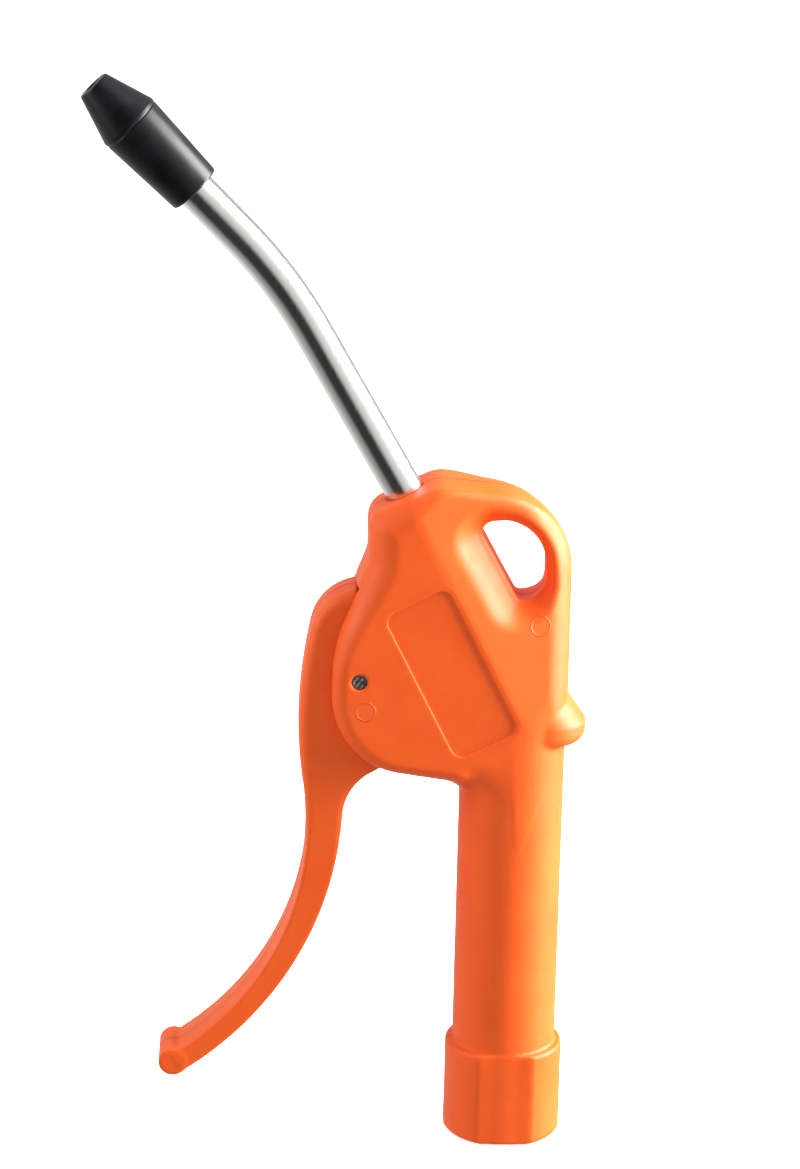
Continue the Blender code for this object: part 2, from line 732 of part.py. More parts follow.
def tube_path():
    """Tube centre line: straight out of the body, one gentle bend, straight to the tip."""
    start = slanted(TUBE_START_UP, 0.0)
    bend = Vector((*slanted(TUBE_BEND_UP, 0.0),))
    across = Vector((-math.cos(TUBE_TILT), -math.sin(TUBE_TILT)))
    centre = bend + across * TUBE_BEND_RADIUS
    points = [Vector(start)]
    bend_steps = 8
    for step in range(bend_steps + 1):
        swing = Matrix.Rotation(TUBE_BEND_ANGLE * step / bend_steps, 2)
        points.append(centre + swing @ (bend - centre))
    lean = TUBE_TILT + TUBE_BEND_ANGLE
    points.append(points[-1] + Vector((-math.sin(lean), math.cos(lean))) * TUBE_UPPER_LENGTH)
    return [Vector((point.x, 0.0, point.y)) for point in points]


def tip_matrix():
    """Local +Z up the tube's upper stretch, from the end of its bend."""
    end_of_bend = tube_path()[-2]
    return axis_matrix((end_of_bend.x, end_of_bend.z), -(TUBE_TILT + TUBE_BEND_ANGLE))


def make_tip(finish):
    """Rubber tip: a sleeve that widens to a shoulder, then a cone with a small hole."""
    bore = TUBE_RADIUS + PRESS_GAP
    end = TIP_START + TIP_LENGTH
    stop = TUBE_UPPER_LENGTH + SEAT_GAP
    shoulder = TIP_START + TIP_SHOULDER
    profile = (
        (bore, TIP_START),
        (TIP_OPEN_RADIUS - TIP_EDGE, TIP_START),
        (TIP_OPEN_RADIUS, TIP_START + TIP_EDGE),
        (TIP_SHOULDER_RADIUS, shoulder - 0.2),
        (TIP_SHOULDER_RADIUS - 0.15, shoulder),
        (TIP_FACE_RADIUS, end - TIP_EDGE),
        (TIP_FACE_RADIUS - TIP_EDGE, end),
        (TIP_HOLE_RADIUS, end),
        (TIP_HOLE_RADIUS, stop),
        (bore, stop),
    )
    return lathe("rubber_tip", profile, tip_matrix(), finish, 40)


# Moving pieces


def lever_outline():
    """Lever seen from the side, from the top of its head down the front and back up inside."""
    tangent_turn = math.degrees(
        math.atan2(
            LEVER_FRONT_CENTRE[1] - LEVER_SWEEP_CENTRE[1], LEVER_FRONT_CENTRE[0] - LEVER_SWEEP_CENTRE[0]
        )
    )
    head_turn = math.degrees(
        math.atan2(LEVER_HEAD_CENTRE[1] - LEVER_FRONT_CENTRE[1], LEVER_HEAD_CENTRE[0] - LEVER_FRONT_CENTRE[0])
    )
    points = arc(LEVER_HEAD_CENTRE, LEVER_HEAD_RADIUS, 88.0, head_turn, 9)
    points += arc(LEVER_FRONT_CENTRE, LEVER_FRONT_RADIUS, head_turn + 1.5, 180.0 + tangent_turn, 8)
    points += arc(LEVER_SWEEP_CENTRE, LEVER_SWEEP_RADIUS, tangent_turn - 4.0, -54.5, 14)
    points += arc(BEAD_CENTRE, BEAD_RADIUS - 0.2, 110.0, 290.0, 4)
    points += arc(LEVER_INNER_CENTRE, LEVER_INNER_RADIUS, -56.0, -6.0, 14)
    points += arc(LEVER_CROTCH_CENTRE, LEVER_CROTCH_RADIUS, 177.0, 90.0 + math.degrees(TUBE_TILT), 7)
    arm_end = Vector(points[-1])
    foot_up = (arm_end - Vector((0.0, TUBE_FOOT))).dot(Vector((UP_TUBE.x, UP_TUBE.z)))
    points += [slanted(foot_up, PAD_BACK - 1.2), slanted(foot_up + 1.2, PAD_BACK)]
    points += [slanted(PIVOT_UP - 7.0, PAD_BACK), slanted(PIVOT_UP - 3.5, PAD_BACK + 5.0)]
    points += [slanted(PIVOT_UP + 13.0, PAD_BACK + 5.0)]
    return [(x - PIVOT[0], z - PIVOT[1]) for x, z in points]


def make_lever(finish):
    at_pivot = axis_matrix(PIVOT, 0.0)
    lever = slab("trigger_lever", lever_outline(), -LEVER_HALF_WIDTH, LEVER_HALF_WIDTH, finish, at_pivot)
    bevel(lever, LEVER_EDGE, 2, 60.0)
    bead_matrix = axis_matrix(BEAD_CENTRE, 0.0) @ Matrix.Rotation(math.pi / 2, 4, "X")
    half = LEVER_HALF_WIDTH + 0.05
    edge = 0.6
    profile = (
        (0.0, -half),
        (BEAD_RADIUS - edge, -half),
        (BEAD_RADIUS, -half + edge),
        (BEAD_RADIUS, half - edge),
        (BEAD_RADIUS - edge, half),
        (0.0, half),
    )
    boolean(lever, lathe("add_bead", profile, bead_matrix, None, SMALL_STEPS), "UNION")
    boolean(lever, cross_rod("cut_lever_hole", PIVOT, PIN_RADIUS + RUNNING_GAP, LEVER_HALF_WIDTH + 5.0))
    return lever


def make_pin(finish):
    half = HEAD_HALF_WIDTH - PIN_RECESS
    chamfer = 0.3
    profile = (
        (0.0, -half),
        (PIN_RADIUS - chamfer, -half),
        (PIN_RADIUS, -half + chamfer),
        (PIN_RADIUS, half - chamfer),
        (PIN_RADIUS - chamfer, half),
        (0.0, half),
    )
    matrix = axis_matrix(PIVOT, 0.0) @ Matrix.Rotation(math.pi / 2, 4, "X")
    return lathe("lever_pivot_pin", profile, matrix, finish, SMALL_STEPS)


def make_stem(finish):
    """Valve stem: domed tip for the lever, sealed guide, thin shank, and the head with its spigot."""
    groove = STEM_GUIDE_RADIUS - 0.85
    half = STEM_RING_WIRE + 0.15
    head_end = HEAD_BACK + STEM_HEAD_LENGTH
    guide = (SLEEVE_FRONT + 0.2, SLEEVE_GUIDE_END - 0.4)
    spigot = SPRING_RADIUS - SPRING_WIRE_RADIUS - 0.4
    dome = arc((0.0, STEM_TIP_BACK + STEM_TIP_RADIUS), STEM_TIP_RADIUS, -90.0, 0.0, 5)
    profile = dome + [
        (STEM_TIP_RADIUS, guide[0]),
        (STEM_GUIDE_RADIUS, guide[0]),
        (STEM_GUIDE_RADIUS, STEM_RING_BACK - half),
        (groove, STEM_RING_BACK - half),
        (groove, STEM_RING_BACK + half),
        (STEM_GUIDE_RADIUS, STEM_RING_BACK + half),
        (STEM_GUIDE_RADIUS, guide[1]),
        (STEM_SHANK_RADIUS, guide[1] + 0.8),
        (STEM_SHANK_RADIUS, HEAD_BACK),
        (STEM_HEAD_RADIUS, HEAD_BACK),
        (STEM_HEAD_RADIUS, head_end),
        (spigot, head_end),
        (spigot, head_end + 0.8),
        (0.0, head_end + 0.8),
    ]
    return lathe("valve_stem", profile, VALVE_MATRIX, finish, 32)


def make_poppet_seal(finish):
    start = SEAT_BACK + SEAT_GAP
    profile = (
        (STEM_SHANK_RADIUS + PRESS_GAP, start),
        (STEM_HEAD_RADIUS - 0.2, start),
        (STEM_HEAD_RADIUS, start + 0.2),
        (STEM_HEAD_RADIUS, start + SEAL_THICKNESS),
        (STEM_SHANK_RADIUS + PRESS_GAP, start + SEAL_THICKNESS),
    )
    return lathe("poppet_seal", profile, VALVE_MATRIX, finish, 32)


def make_spring(finish):
    start = HEAD_BACK + STEM_HEAD_LENGTH + SPRING_WIRE_RADIUS + 0.15
    end = SPRING_POCKET_END - SPRING_WIRE_RADIUS - 0.15
    steps = int(SPRING_TURNS * 16)
    path = []
    for step in range(steps + 1):
        share = step / steps
        angle = math.tau * SPRING_TURNS * share
        height = start + (end - start) * share
        path.append(Vector((SPRING_RADIUS * math.cos(angle), SPRING_RADIUS * math.sin(angle), height)))
    return sweep("valve_spring", path, SPRING_WIRE_RADIUS, 0.0, 8, finish, VALVE_MATRIX)


def hang_from(name, matrix, pieces):
    """Parent pieces to an empty on their joint's axis, leaving them where they are."""
    empty = bpy.data.objects.new(name, None)
    empty.empty_display_size = 0.01
    bpy.context.scene.collection.objects.link(empty)
    empty.matrix_world = matrix
    for piece in pieces:
        piece.parent = empty
        piece.matrix_parent_inverse = matrix.inverted()


def main():
    clear_scene()
    nylon = material("orange_nylon", (0.84, 0.14, 0.022), 0.38)
    brass = material("brass", (0.72, 0.52, 0.22), 0.28, 1.0)
    steel = material("steel", (0.60, 0.60, 0.60), 0.3, 1.0)
    chrome = material("chromed_tube", (0.78, 0.77, 0.76), 0.16, 1.0)
    rubber = material("black_rubber", (0.02, 0.02, 0.022), 0.5)
    nitrile = material("nitrile", (0.03, 0.03, 0.03), 0.6)

    make_body(nylon)
    make_inlet_insert(brass)
    make_sleeve(brass)
    make_gland(brass)
    make_bush(brass)
    sweep("nozzle_tube", tube_path(), TUBE_RADIUS, TUBE_BORE_RADIUS, 36, chrome)
    make_tip(rubber)
    make_pin(steel)
    ring("sleeve_o_ring_front", RING_CENTRE_RADIUS, RING_WIRE_RADIUS, FRONT_GROOVE_BACK, VALVE_MATRIX, nitrile)
    ring("sleeve_o_ring_rear", RING_CENTRE_RADIUS, RING_WIRE_RADIUS, REAR_GROOVE_BACK, VALVE_MATRIX, nitrile)
    ring_radius = TUBE_BORE_RADIUS + 0.1
    ring_back = TUBE_START_UP - SEAT_GAP / 2 - TUBE_RING_WIRE
    ring("tube_o_ring", ring_radius, TUBE_RING_WIRE, ring_back, TUBE_MATRIX, nitrile)

    lever = make_lever(nylon)
    stem = make_stem(brass)
    seal = make_poppet_seal(nitrile)
    stem_ring_radius = SLEEVE_GUIDE_RADIUS - 0.1 - STEM_RING_WIRE
    stem_ring = ring("stem_o_ring", stem_ring_radius, STEM_RING_WIRE, STEM_RING_BACK, VALVE_MATRIX, nitrile)
    spring = make_spring(steel)
    hang_from("lever_pivot", axis_matrix(PIVOT, 0.0), [lever])
    hang_from("valve_axis", VALVE_MATRIX, [stem, seal, stem_ring, spring])


main()
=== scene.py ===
# %% [markdown]
# # A compressed-air blow gun
#
# The gun is a one-piece nylon moulding with a lever in a slot, a bright bent tube and a rubber
# tip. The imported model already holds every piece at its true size, so this lesson works in that
# model's frame: +Z up the handle, -X towards the lever, and Y = 0 on the mould's parting plane.
# Lengths in the cells are millimetres, and they turn into metres only when a mesh is made.

import json
import math

import bpy
import numpy as np
from mathutils import Matrix, Vector


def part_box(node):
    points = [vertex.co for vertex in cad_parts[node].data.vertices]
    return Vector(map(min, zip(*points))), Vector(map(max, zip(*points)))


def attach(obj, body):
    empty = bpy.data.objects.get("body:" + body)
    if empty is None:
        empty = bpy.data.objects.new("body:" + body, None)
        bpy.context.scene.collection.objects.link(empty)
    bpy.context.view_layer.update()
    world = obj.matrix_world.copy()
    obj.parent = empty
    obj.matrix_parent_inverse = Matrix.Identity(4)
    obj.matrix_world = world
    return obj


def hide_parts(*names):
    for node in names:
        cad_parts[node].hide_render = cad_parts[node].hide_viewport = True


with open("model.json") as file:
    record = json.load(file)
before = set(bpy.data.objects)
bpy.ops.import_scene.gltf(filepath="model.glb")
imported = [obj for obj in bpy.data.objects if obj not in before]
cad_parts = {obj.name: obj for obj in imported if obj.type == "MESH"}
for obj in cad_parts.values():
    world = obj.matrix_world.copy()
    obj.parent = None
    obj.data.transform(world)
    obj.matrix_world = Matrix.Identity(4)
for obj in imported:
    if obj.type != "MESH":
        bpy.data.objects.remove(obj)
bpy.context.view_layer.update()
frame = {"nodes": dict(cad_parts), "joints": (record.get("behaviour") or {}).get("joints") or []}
MM = 0.001
print("nodes:", sorted(frame["nodes"]))

# %% [markdown]
# ## The slanted frame
#
# The tube leans 30 degrees towards the lever, and the valve lies square to it. Most of the head
# is easier to describe along those two directions, so a helper turns (x, z) into (up, back): up
# along the tube's axis from where it crosses the handle's axis, and back square to it. Places
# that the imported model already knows, such as the pin, are read from it.

# %% Slanted frame and places from the model
TUBE_TILT = math.radians(30.0)
TUBE_FOOT = 101.1
UP_X, UP_Z = -math.sin(TUBE_TILT), math.cos(TUBE_TILT)
BACK_X, BACK_Z = math.cos(TUBE_TILT), math.sin(TUBE_TILT)


def slanted(x, z):
    """(up, back) of a point: its offset from the crossing, projected on the two directions."""
    rise = z - TUBE_FOOT
    return x * UP_X + rise * UP_Z, x * BACK_X + rise * BACK_Z


def from_slanted(up, back):
    """The reverse: the two directions added up from the crossing."""
    return np.array([up * UP_X + back * BACK_X, TUBE_FOOT + up * UP_Z + back * BACK_Z])


hinge = next(joint for joint in frame["joints"] if joint["name"] == "lever_squeeze")
PIVOT = np.array(hinge["pos_m"]) / MM
PIN_LOW, PIN_HIGH = (np.array(corner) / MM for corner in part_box("lever_pivot_pin"))
PIN_RADIUS = (PIN_HIGH[0] - PIN_LOW[0]) / 2
print("pivot at", PIVOT.round(2), "mm, pin radius", round(PIN_RADIUS, 2), "mm")

# %% [markdown]
# ## Distances instead of faces
#
# A moulded body has no plain edges: each one is rounded, and each inside corner is filled. Such
# a shape is easiest to state as a field, a number at each point of space that is negative inside
# the plastic, zero on its skin and grows by one for each millimetre outside. Joining, cutting and
# rounding are then short formulas on whole arrays. Modelling by hand with bevels could make it
# too, but bevels of different radii that meet at the neck and the eye would fight each other.

# %% Field formulas


def both(a, b, radius):
    """Where both fields are inside: the larger field, with the edge rounded to a radius.
    Near the edge it is the distance to a circle's centre line sunk by the radius."""
    a_in, b_in = np.maximum(a + radius, 0.0), np.maximum(b + radius, 0.0)
    return np.minimum(np.maximum(a, b), -radius) + np.sqrt(a_in * a_in + b_in * b_in)


def either(a, b, radius):
    """Where one of the fields is inside: the smaller field, with the corner filled to a radius."""
    return -both(-a, -b, radius)


def without(a, b, radius):
    """The first field with the second cut out of it, its rim rounded to a radius."""
    return both(a, -b, radius)


def ease(low, high, value):
    """0 below low, 1 above high, and the smooth cubic 3t^2 - 2t^3 between them."""
    t = np.clip((value - low) / (high - low), 0.0, 1.0)
    return t * t * (3.0 - 2.0 * t)


def past_ends(value, low, high):
    """Distance outside the stretch from low to high, negative within it."""
    return np.maximum(low - value, value - high)


# %% [markdown]
# ## From a field to a mesh
#
# The skin is where the field is zero. A grid of cells is laid over the piece, and each cell whose
# corners lie on both sides of the skin gets one vertex. It starts at the mean of the places where
# the skin crosses the cell's edges, and then moves to the point that best fits the tangent planes
# there, which keeps small radii crisp. Each grid edge that the skin crosses joins the four cells
# round it with one quad. All of it is array work, one slice for each of the cell's twelve edges.

# %% Skin a field


def slope_of(field, points, step=0.02):
    """The field's unit gradient, from differences over a small step each way."""
    found = np.empty_like(points)
    for axis in range(3):
        ahead, behind = points.copy(), points.copy()
        ahead[:, axis] += step
        behind[:, axis] -= step
        found[:, axis] = field(*ahead.T) - field(*behind.T)
    return found / np.maximum(np.linalg.norm(found, axis=1, keepdims=True), 1e-9)


def skin_of(field, axes):
    """(points, quads) of the surface where the field is zero, on a grid with its own steps."""
    values = field(axes[0][:, None, None], axes[1][None, :, None], axes[2][None, None, :])
    values = np.ascontiguousarray(np.broadcast_to(values, [len(a) for a in axes]))
    inside = values < 0
    cells = tuple(len(a) - 1 for a in axes)
    quads = []
    crossings = []
    for axis in range(3):
        near = [slice(None)] * 3
        far = [slice(None)] * 3
        near[axis], far[axis] = slice(None, -1), slice(1, None)
        here, there = values[tuple(near)], values[tuple(far)]
        crossed = inside[tuple(near)] != inside[tuple(far)]
        i, j, k = np.nonzero(crossed)
        share = here[i, j, k] / (here[i, j, k] - there[i, j, k])
        index = np.stack([i, j, k], 1)
        place = np.stack([axes[0][i], axes[1][j], axes[2][k]], 1)
        place[:, axis] += share * np.diff(axes[axis])[index[:, axis]]
        side_one, side_two = [a for a in range(3) if a != axis]
        around = []
        for step_one, step_two in ((1, 1), (0, 1), (0, 0), (1, 0)):
            owner = index.copy()
            owner[:, side_one] -= step_one
            owner[:, side_two] -= step_two
            around.append(owner)
        around = np.stack(around, 1)
        kept = ((around >= 0) & (around < np.array(cells))).all((1, 2))
        around, place = around[kept], place[kept]
        flip = inside[tuple(near)][tuple(index[kept].T)]
        if axis == 1:
            flip = ~flip
        around = np.where(flip[:, None, None], around, around[:, ::-1])
        flat = np.ravel_multi_index(tuple(around.reshape(-1, 3).T), cells).reshape(-1, 4)
        quads.append(flat)
        crossings.append(place)
    quads = np.concatenate(quads)
    hits = np.concatenate(crossings)
    owners, places = quads.reshape(-1), np.repeat(hits, 4, axis=0)
    used, owner_index = np.unique(owners, return_inverse=True)
    count = np.bincount(owner_index, minlength=len(used))
    centre = np.stack([np.bincount(owner_index, places[:, a], len(used)) for a in range(3)], 1)
    centre /= count[:, None]
    normals = np.repeat(slope_of(field, hits), 4, axis=0)
    corner = np.stack(np.unravel_index(used, cells), 1)
    size = np.stack([np.diff(axes[a])[corner[:, a]] for a in range(3)], 1)
    points = fitted(centre, owner_index, places, normals, size)
    return points, np.searchsorted(used, quads)


def fitted(centre, owner, places, normals, size, stiffness=0.06):
    """Move each cell's vertex to where its tangent planes meet: the least squares point of
    normal . (vertex - place) = 0, pulled lightly towards the mean so flat cells stay put."""
    offset = places - centre[owner]
    reach = (normals * offset).sum(1)
    matrix = np.zeros((len(centre), 3, 3))
    right = np.zeros((len(centre), 3))
    for row in range(3):
        right[:, row] = np.bincount(owner, normals[:, row] * reach, len(centre))
        for column in range(3):
            product = normals[:, row] * normals[:, column]
            matrix[:, row, column] = np.bincount(owner, product, len(centre))
    matrix += np.eye(3) * stiffness
    move = np.linalg.solve(matrix, right[..., None])[..., 0]
    return centre + np.clip(move, -0.7 * size, 0.7 * size)


def piece(name, points, faces, body, slot=None, stands_for=()):
    """A finished piece at the origin: its place is in its mesh, in metres."""
    mesh = bpy.data.meshes.new(name)
    mesh.from_pydata((points * MM).tolist(), [], [list(face) for face in faces])
    mesh.shade_smooth()
    obj = bpy.data.objects.new(name, mesh)
    bpy.context.scene.collection.objects.link(obj)
    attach(obj, body)
    if stands_for:
        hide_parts(*stands_for)
    print(name, len(points), "points,", len(faces), "faces")
    return obj


# %% [markdown]
# ## The outline of the head, as a field
#
# Seen from the side the head is a closed outline of straight runs and tangent arcs: the cheeks
# that hold the lever, the neck, the tube's mouth, the strap over the hanging eye, and the foot
# that runs down into the handle. The field of such an outline is exact when each run and each
# arc is measured on its own and the nearest one decides the sign, so no facets show in the skin.

# %% Outlines of runs and arcs


def runs_and_arcs(corners):
    """The runs and arcs of a closed outline through (x, z, radius) corners. An arc's centre lies
    on its corner's bisector, radius / sin(half angle) in, and it meets both runs square on."""
    corners = np.array(corners, float)
    spots = corners[:, :2]
    ahead = np.roll(spots, -1, axis=0) - spots
    ahead /= np.linalg.norm(ahead, axis=1, keepdims=True)
    behind = -np.roll(ahead, 1, axis=0)
    turning = behind[:, 1] * ahead[:, 0] - behind[:, 0] * ahead[:, 1]
    area = (spots[:, 0] * np.roll(spots[:, 1], -1) - np.roll(spots[:, 0], -1) * spots[:, 1]).sum()
    sense = 1.0 if area > 0 else -1.0
    half = np.arccos(np.clip((ahead * behind).sum(1), -1.0, 1.0)) / 2
    bisector = (ahead + behind) / (2 * np.cos(half))[:, None]
    radius = corners[:, 2]
    centre = spots + bisector * (radius / np.sin(half))[:, None]
    cut = (radius / np.tan(half))[:, None]
    bulge = np.where(turning * sense > 0, 1.0, -1.0)
    arcs = list(zip(centre, radius, -bisector, np.sin(half), bulge))
    runs = list(zip(spots + ahead * cut, np.roll(spots + behind * cut, -1, axis=0)))
    return runs, arcs, sense


def outline_field(shape, x, z):
    """Signed distance to runs and arcs. A run is measured to the foot of the perpendicular, held
    between its ends; an arc counts only within its own sector. The nearest one gives the sign:
    the side of the run, or whether the point is beyond the arc."""
    runs, arcs, sense = shape
    x, z = np.broadcast_arrays(x, z)
    nearest = np.full(x.shape, 1e9)
    signed = np.full(x.shape, 1e9)
    for start, end in runs:
        length = np.linalg.norm(end - start)
        way = (end - start) / length
        dx, dz = x - start[0], z - start[1]
        along = np.clip(dx * way[0] + dz * way[1], 0.0, length)
        gap = np.hypot(dx - along * way[0], dz - along * way[1])
        side = np.where(way[0] * dz - way[1] * dx > 0, -sense, sense)
        closer = gap < nearest
        nearest = np.where(closer, gap, nearest)
        signed = np.where(closer, gap * side, signed)
    for centre, radius, outward, sector, bulge in arcs:
        dx, dz = x - centre[0], z - centre[1]
        reach = np.hypot(dx, dz)
        within = dx * outward[0] + dz * outward[1] >= sector * reach
        gap = np.where(within, np.abs(reach - radius), 1e9)
        closer = gap < nearest
        nearest = np.where(closer, gap, nearest)
        signed = np.where(closer, (reach - radius) * bulge, signed)
    return signed


# %% [markdown]
# ## The body's driving sizes
#
# The handle is a plain cylinder, and the head is a plate just thicker than it. Along a crease
# beside the label the plate's side turns in by 15 degrees and slopes down to a thin strap round
# the hanging eye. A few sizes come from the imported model, so that the moulding fits its pieces.

# %% Sizes of the body
HEAD_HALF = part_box("body")[1][1] / MM
HANDLE_RADIUS = HEAD_HALF - 0.1
TUBE_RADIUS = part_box("nozzle_tube")[1][1] / MM
MOUTH_UP = 48.8

mouth_left = from_slanted(MOUTH_UP, -8.2)
mouth_right = from_slanted(MOUTH_UP - 1.4, 7.2)
HEAD_OUTLINE = runs_and_arcs(
    (
        (*mouth_left, 4.8),
        (*mouth_right, 7.0),
        (11.25, 143.4, 18.9),
        (11.25, 90.5, 1.0),
        (1.5, 64.0, 2.0),
        (-9.5, 70.5, 1.0),
        (-11.3, 80.4, 5.0),
        (-38.6, 85.6, 18.0),
        (-38.7, 111.0, 40.0),
        (-31.4, 129.5, 8.0),
    )
)
EYE_OUTLINE = runs_and_arcs(
    ((-9.3, 137.4, 2.2), (5.5, 137.4, 9.5), (5.7, 120.6, 4.6), (-0.1, 120.6, 1.6))
)
LABEL_CENTRE = (-13.65, 106.3)
LABEL_TILT = math.radians(27.0)
LABEL_HALF = (7.3, 17.5)
LABEL_CORNER = 2.5
LABEL_DEPTH = 0.4
LABEL_MARGIN = 0.35
CREASE = LABEL_HALF[0] + 0.9
SLOPE = math.radians(15.0)
STRAP_HALF = 4.8
DRAFT = math.tan(math.radians(2.5))
print("head half width", round(HEAD_HALF, 2), "mm, tube radius", round(TUBE_RADIUS, 2), "mm")

# %% [markdown]
# ## The head
#
# The head's two sides are one formula: the half thickness at each point of the side view. It is
# full width up to the crease, falls along the slope, and near the eye drops once more into a
# shallow pocket with a soft wall, which lets a hook lie flat. The outline is drafted: it shrinks
# a little away from the parting plane, as a mould needs, and more so on the strap, which leaves
# a ridge along its top. The rim's rounding grows towards the neck and the back.

# %% The head's field
STRAP_DRAFT = 2.5
POCKET_HALF, POCKET_RISE, POCKET_EASE = 4.6, 1.3, 1.1
RIM, NECK_MORE, REAR_MORE, STRAP_LESS = 3.2, 3.0, 1.8, 1.7
FRONT_RIM, BACK_RIM = 10.6, 1.0


def blended_min(a, b, width):
    """The smaller of two heights, with the corner between them eased over a width."""
    share = np.clip(0.5 + (b - a) / (2 * width), 0.0, 1.0)
    return b + (a - b) * share - width * share * (1 - share)


def down_slope(x, z):
    """Distance square to the label's long side, from the label's middle."""
    return (x - LABEL_CENTRE[0]) * math.cos(LABEL_TILT) + (z - LABEL_CENTRE[1]) * math.sin(LABEL_TILT)


def half_thickness(x, z, eye):
    """Full width, then the slope, then the pocket's wall and floor round the eye; at the foot, no
    more than half the handle's own chord, sqrt(radius^2 - x^2)."""
    slope = HEAD_HALF - (down_slope(x, z) - CREASE) * math.tan(SLOPE)
    sloped = np.maximum(blended_min(HEAD_HALF, slope, 0.35), STRAP_HALF)
    wall = np.maximum(eye - 0.3, 0.0)
    pocket = POCKET_HALF + POCKET_RISE * wall * wall / (wall + POCKET_EASE)
    thickness = blended_min(sloped, pocket, 1.7)
    handle_like = np.sqrt(np.maximum((HANDLE_RADIUS - 0.05) ** 2 - x * x, 0.01))
    foot = np.maximum(back_foot(x, z), front_foot(x, z) * ease(-11.5, -7.0, x))
    return thickness + (np.minimum(thickness, handle_like) - thickness) * foot


def back_foot(x, z):
    """1 behind the handle's axis below the head, 0 in the head, eased between."""
    return ease(104.0, 88.0, z) * ease(-1.0, 1.5, x)


def front_foot(x, z):
    """The same in front of the axis, where the head ends lower down."""
    return ease(87.0, 75.0, z) * ease(3.0, -2.0, x)


def rim_radius(x, z):
    """Rounding of the head's rim: wider at the neck's front and along the back, narrower on the
    strap, and nearly as round as the handle in front, where the head runs down into it."""
    up, back = slanted(x, z)
    neck = ease(22.0, 36.0, up) * ease(6.0, -7.0, back)
    rear = ease(0.0, 9.0, x) * ease(140.0, 122.0, z)
    strap = ease(-20.0, -14.0, x) * ease(137.0, 141.0, z)
    rim = RIM + NECK_MORE * neck + REAR_MORE * rear - STRAP_LESS * strap
    rim += (FRONT_RIM - rim) * front_foot(x, z)
    return rim + (BACK_RIM - rim) * back_foot(x, z)


def head_field(x, y, z):
    """The drafted outline and the two sides, joined by the rounded rim."""
    eye = outline_field(EYE_OUTLINE, x, z)
    strap = ease(-14.0, -4.0, x) * ease(124.0, 134.0, z)
    outline = outline_field(HEAD_OUTLINE, x, z) + DRAFT * (1.0 + STRAP_DRAFT * strap) * np.abs(y)
    side = np.abs(y) - half_thickness(x, z, eye)
    return both(outline, side, rim_radius(x, z)), eye


# %% [markdown]
# ## Handle, collar and hand stop
#
# The hand stop at the back is a slightly narrower cylinder pushed backwards: its centre moves out
# as it comes down, then it ends in a rounded shelf. The handle narrows inside the head, so that
# its round side never shows through the head's flat one. The collar is a short wider cylinder with
# two wrench flats, level with the handle's sides.

# %% Handle fields
COLLAR_RADIUS = HANDLE_RADIUS + 1.5
COLLAR_TOP = 20.5
STOP_TOP, STOP_SHOULDER, STOP_BOTTOM = 102.0, 93.6, 89.0
STOP_RADIUS = HANDLE_RADIUS - 1.6
STOP_REACH = 15.2 - STOP_RADIUS
HANDLE_TOP, HANDLE_NARROWING = 100.0, 1.2


def handle_field(x, y, z):
    """A cylinder about Z, from the collar up into the head."""
    narrowing = HANDLE_NARROWING * ease(88.0, HANDLE_TOP, z)
    return np.maximum(np.hypot(x, y) - HANDLE_RADIUS + narrowing, past_ends(z, 0.0, HANDLE_TOP))


def collar_field(x, y, z):
    """A wider cylinder with rounded ends, then the two flats."""
    barrel = both(np.hypot(x, y) - COLLAR_RADIUS, past_ends(z, 0.0, COLLAR_TOP), 0.8)
    return both(barrel, np.abs(y) - HANDLE_RADIUS - 0.02, 0.25)


def hand_stop_field(x, y, z):
    """A cylinder whose axis moves back from STOP_TOP down to STOP_SHOULDER, cut off below."""
    share = np.clip((STOP_TOP - z) / (STOP_TOP - STOP_SHOULDER), 0.0, 1.0)
    round_side = np.hypot(x - STOP_REACH * share, y) - STOP_RADIUS
    return both(both(round_side, STOP_BOTTOM - z, 2.6), z - STOP_TOP, 1.0)


# %% [markdown]
# ## What is cut out
#
# The moulding has a slot for the lever, the valve's stepped bore behind it, air passages, a well
# for the tube, the hanging eye, a recess for the label and the pin's hole. Every cut is a field
# too. The round holes are given by their radius and where they start and end on their axis.

# %% Cutting fields
SLOT_HALF = 6.5
SLOT_ROOF = 123.3
SLOT_LIP_UP, SLOT_FLOOR_BACK = -4.6, -15.0
VALVE_UP = 6.5
VALVE_BORE = (5.2, -21.0, 3.2)
VALVE_CHAMBER = (4.4, 2.0, 11.0)
SPRING_POCKET = (3.3, 10.0, 13.0)
OUTLET, OUTLET_BACK = (1.9, VALVE_UP, 18.0), -2.6
INLET, INLET_X = (2.1, 85.0, 106.0), 4.3
INSERT_HOLE = (8.55, -5.0, 14.8)
HANDLE_BORE = (6.5, 10.0, 86.0)
TUBE_HOLE = (TUBE_RADIUS + 0.05, 22.2, 70.0)
AIR_HOLE = (2.8, 17.0, 24.0)
BUSH_HOLE = (5.55, 26.8, 42.2)


def rod_field(across_one, across_two, along, radius, low, high):
    """A cylinder: distance from its axis, then its two flat ends."""
    return np.maximum(np.hypot(across_one, across_two) - radius, past_ends(along, low, high))


def slot_field(x, y, z):
    """Open to the front and below: bounded by its floor, its lip and its roof."""
    up, back = slanted(x, z)
    shape = both(back - SLOT_FLOOR_BACK, SLOT_LIP_UP - up, 1.5)
    return np.maximum(both(shape, z - SLOT_ROOF, 1.5), np.abs(y) - SLOT_HALF)


def valve_bore_field(x, y, z):
    """The sleeve's bore, the chamber behind it and the spring's pocket, along the valve axis."""
    up, back = slanted(x, z)
    across = up - VALVE_UP
    bore = rod_field(across, y, back, *VALVE_BORE)
    chamber = rod_field(across, y, back, *VALVE_CHAMBER)
    pocket = rod_field(across, y, back, *SPRING_POCKET)
    return np.minimum(bore, np.minimum(chamber, pocket))


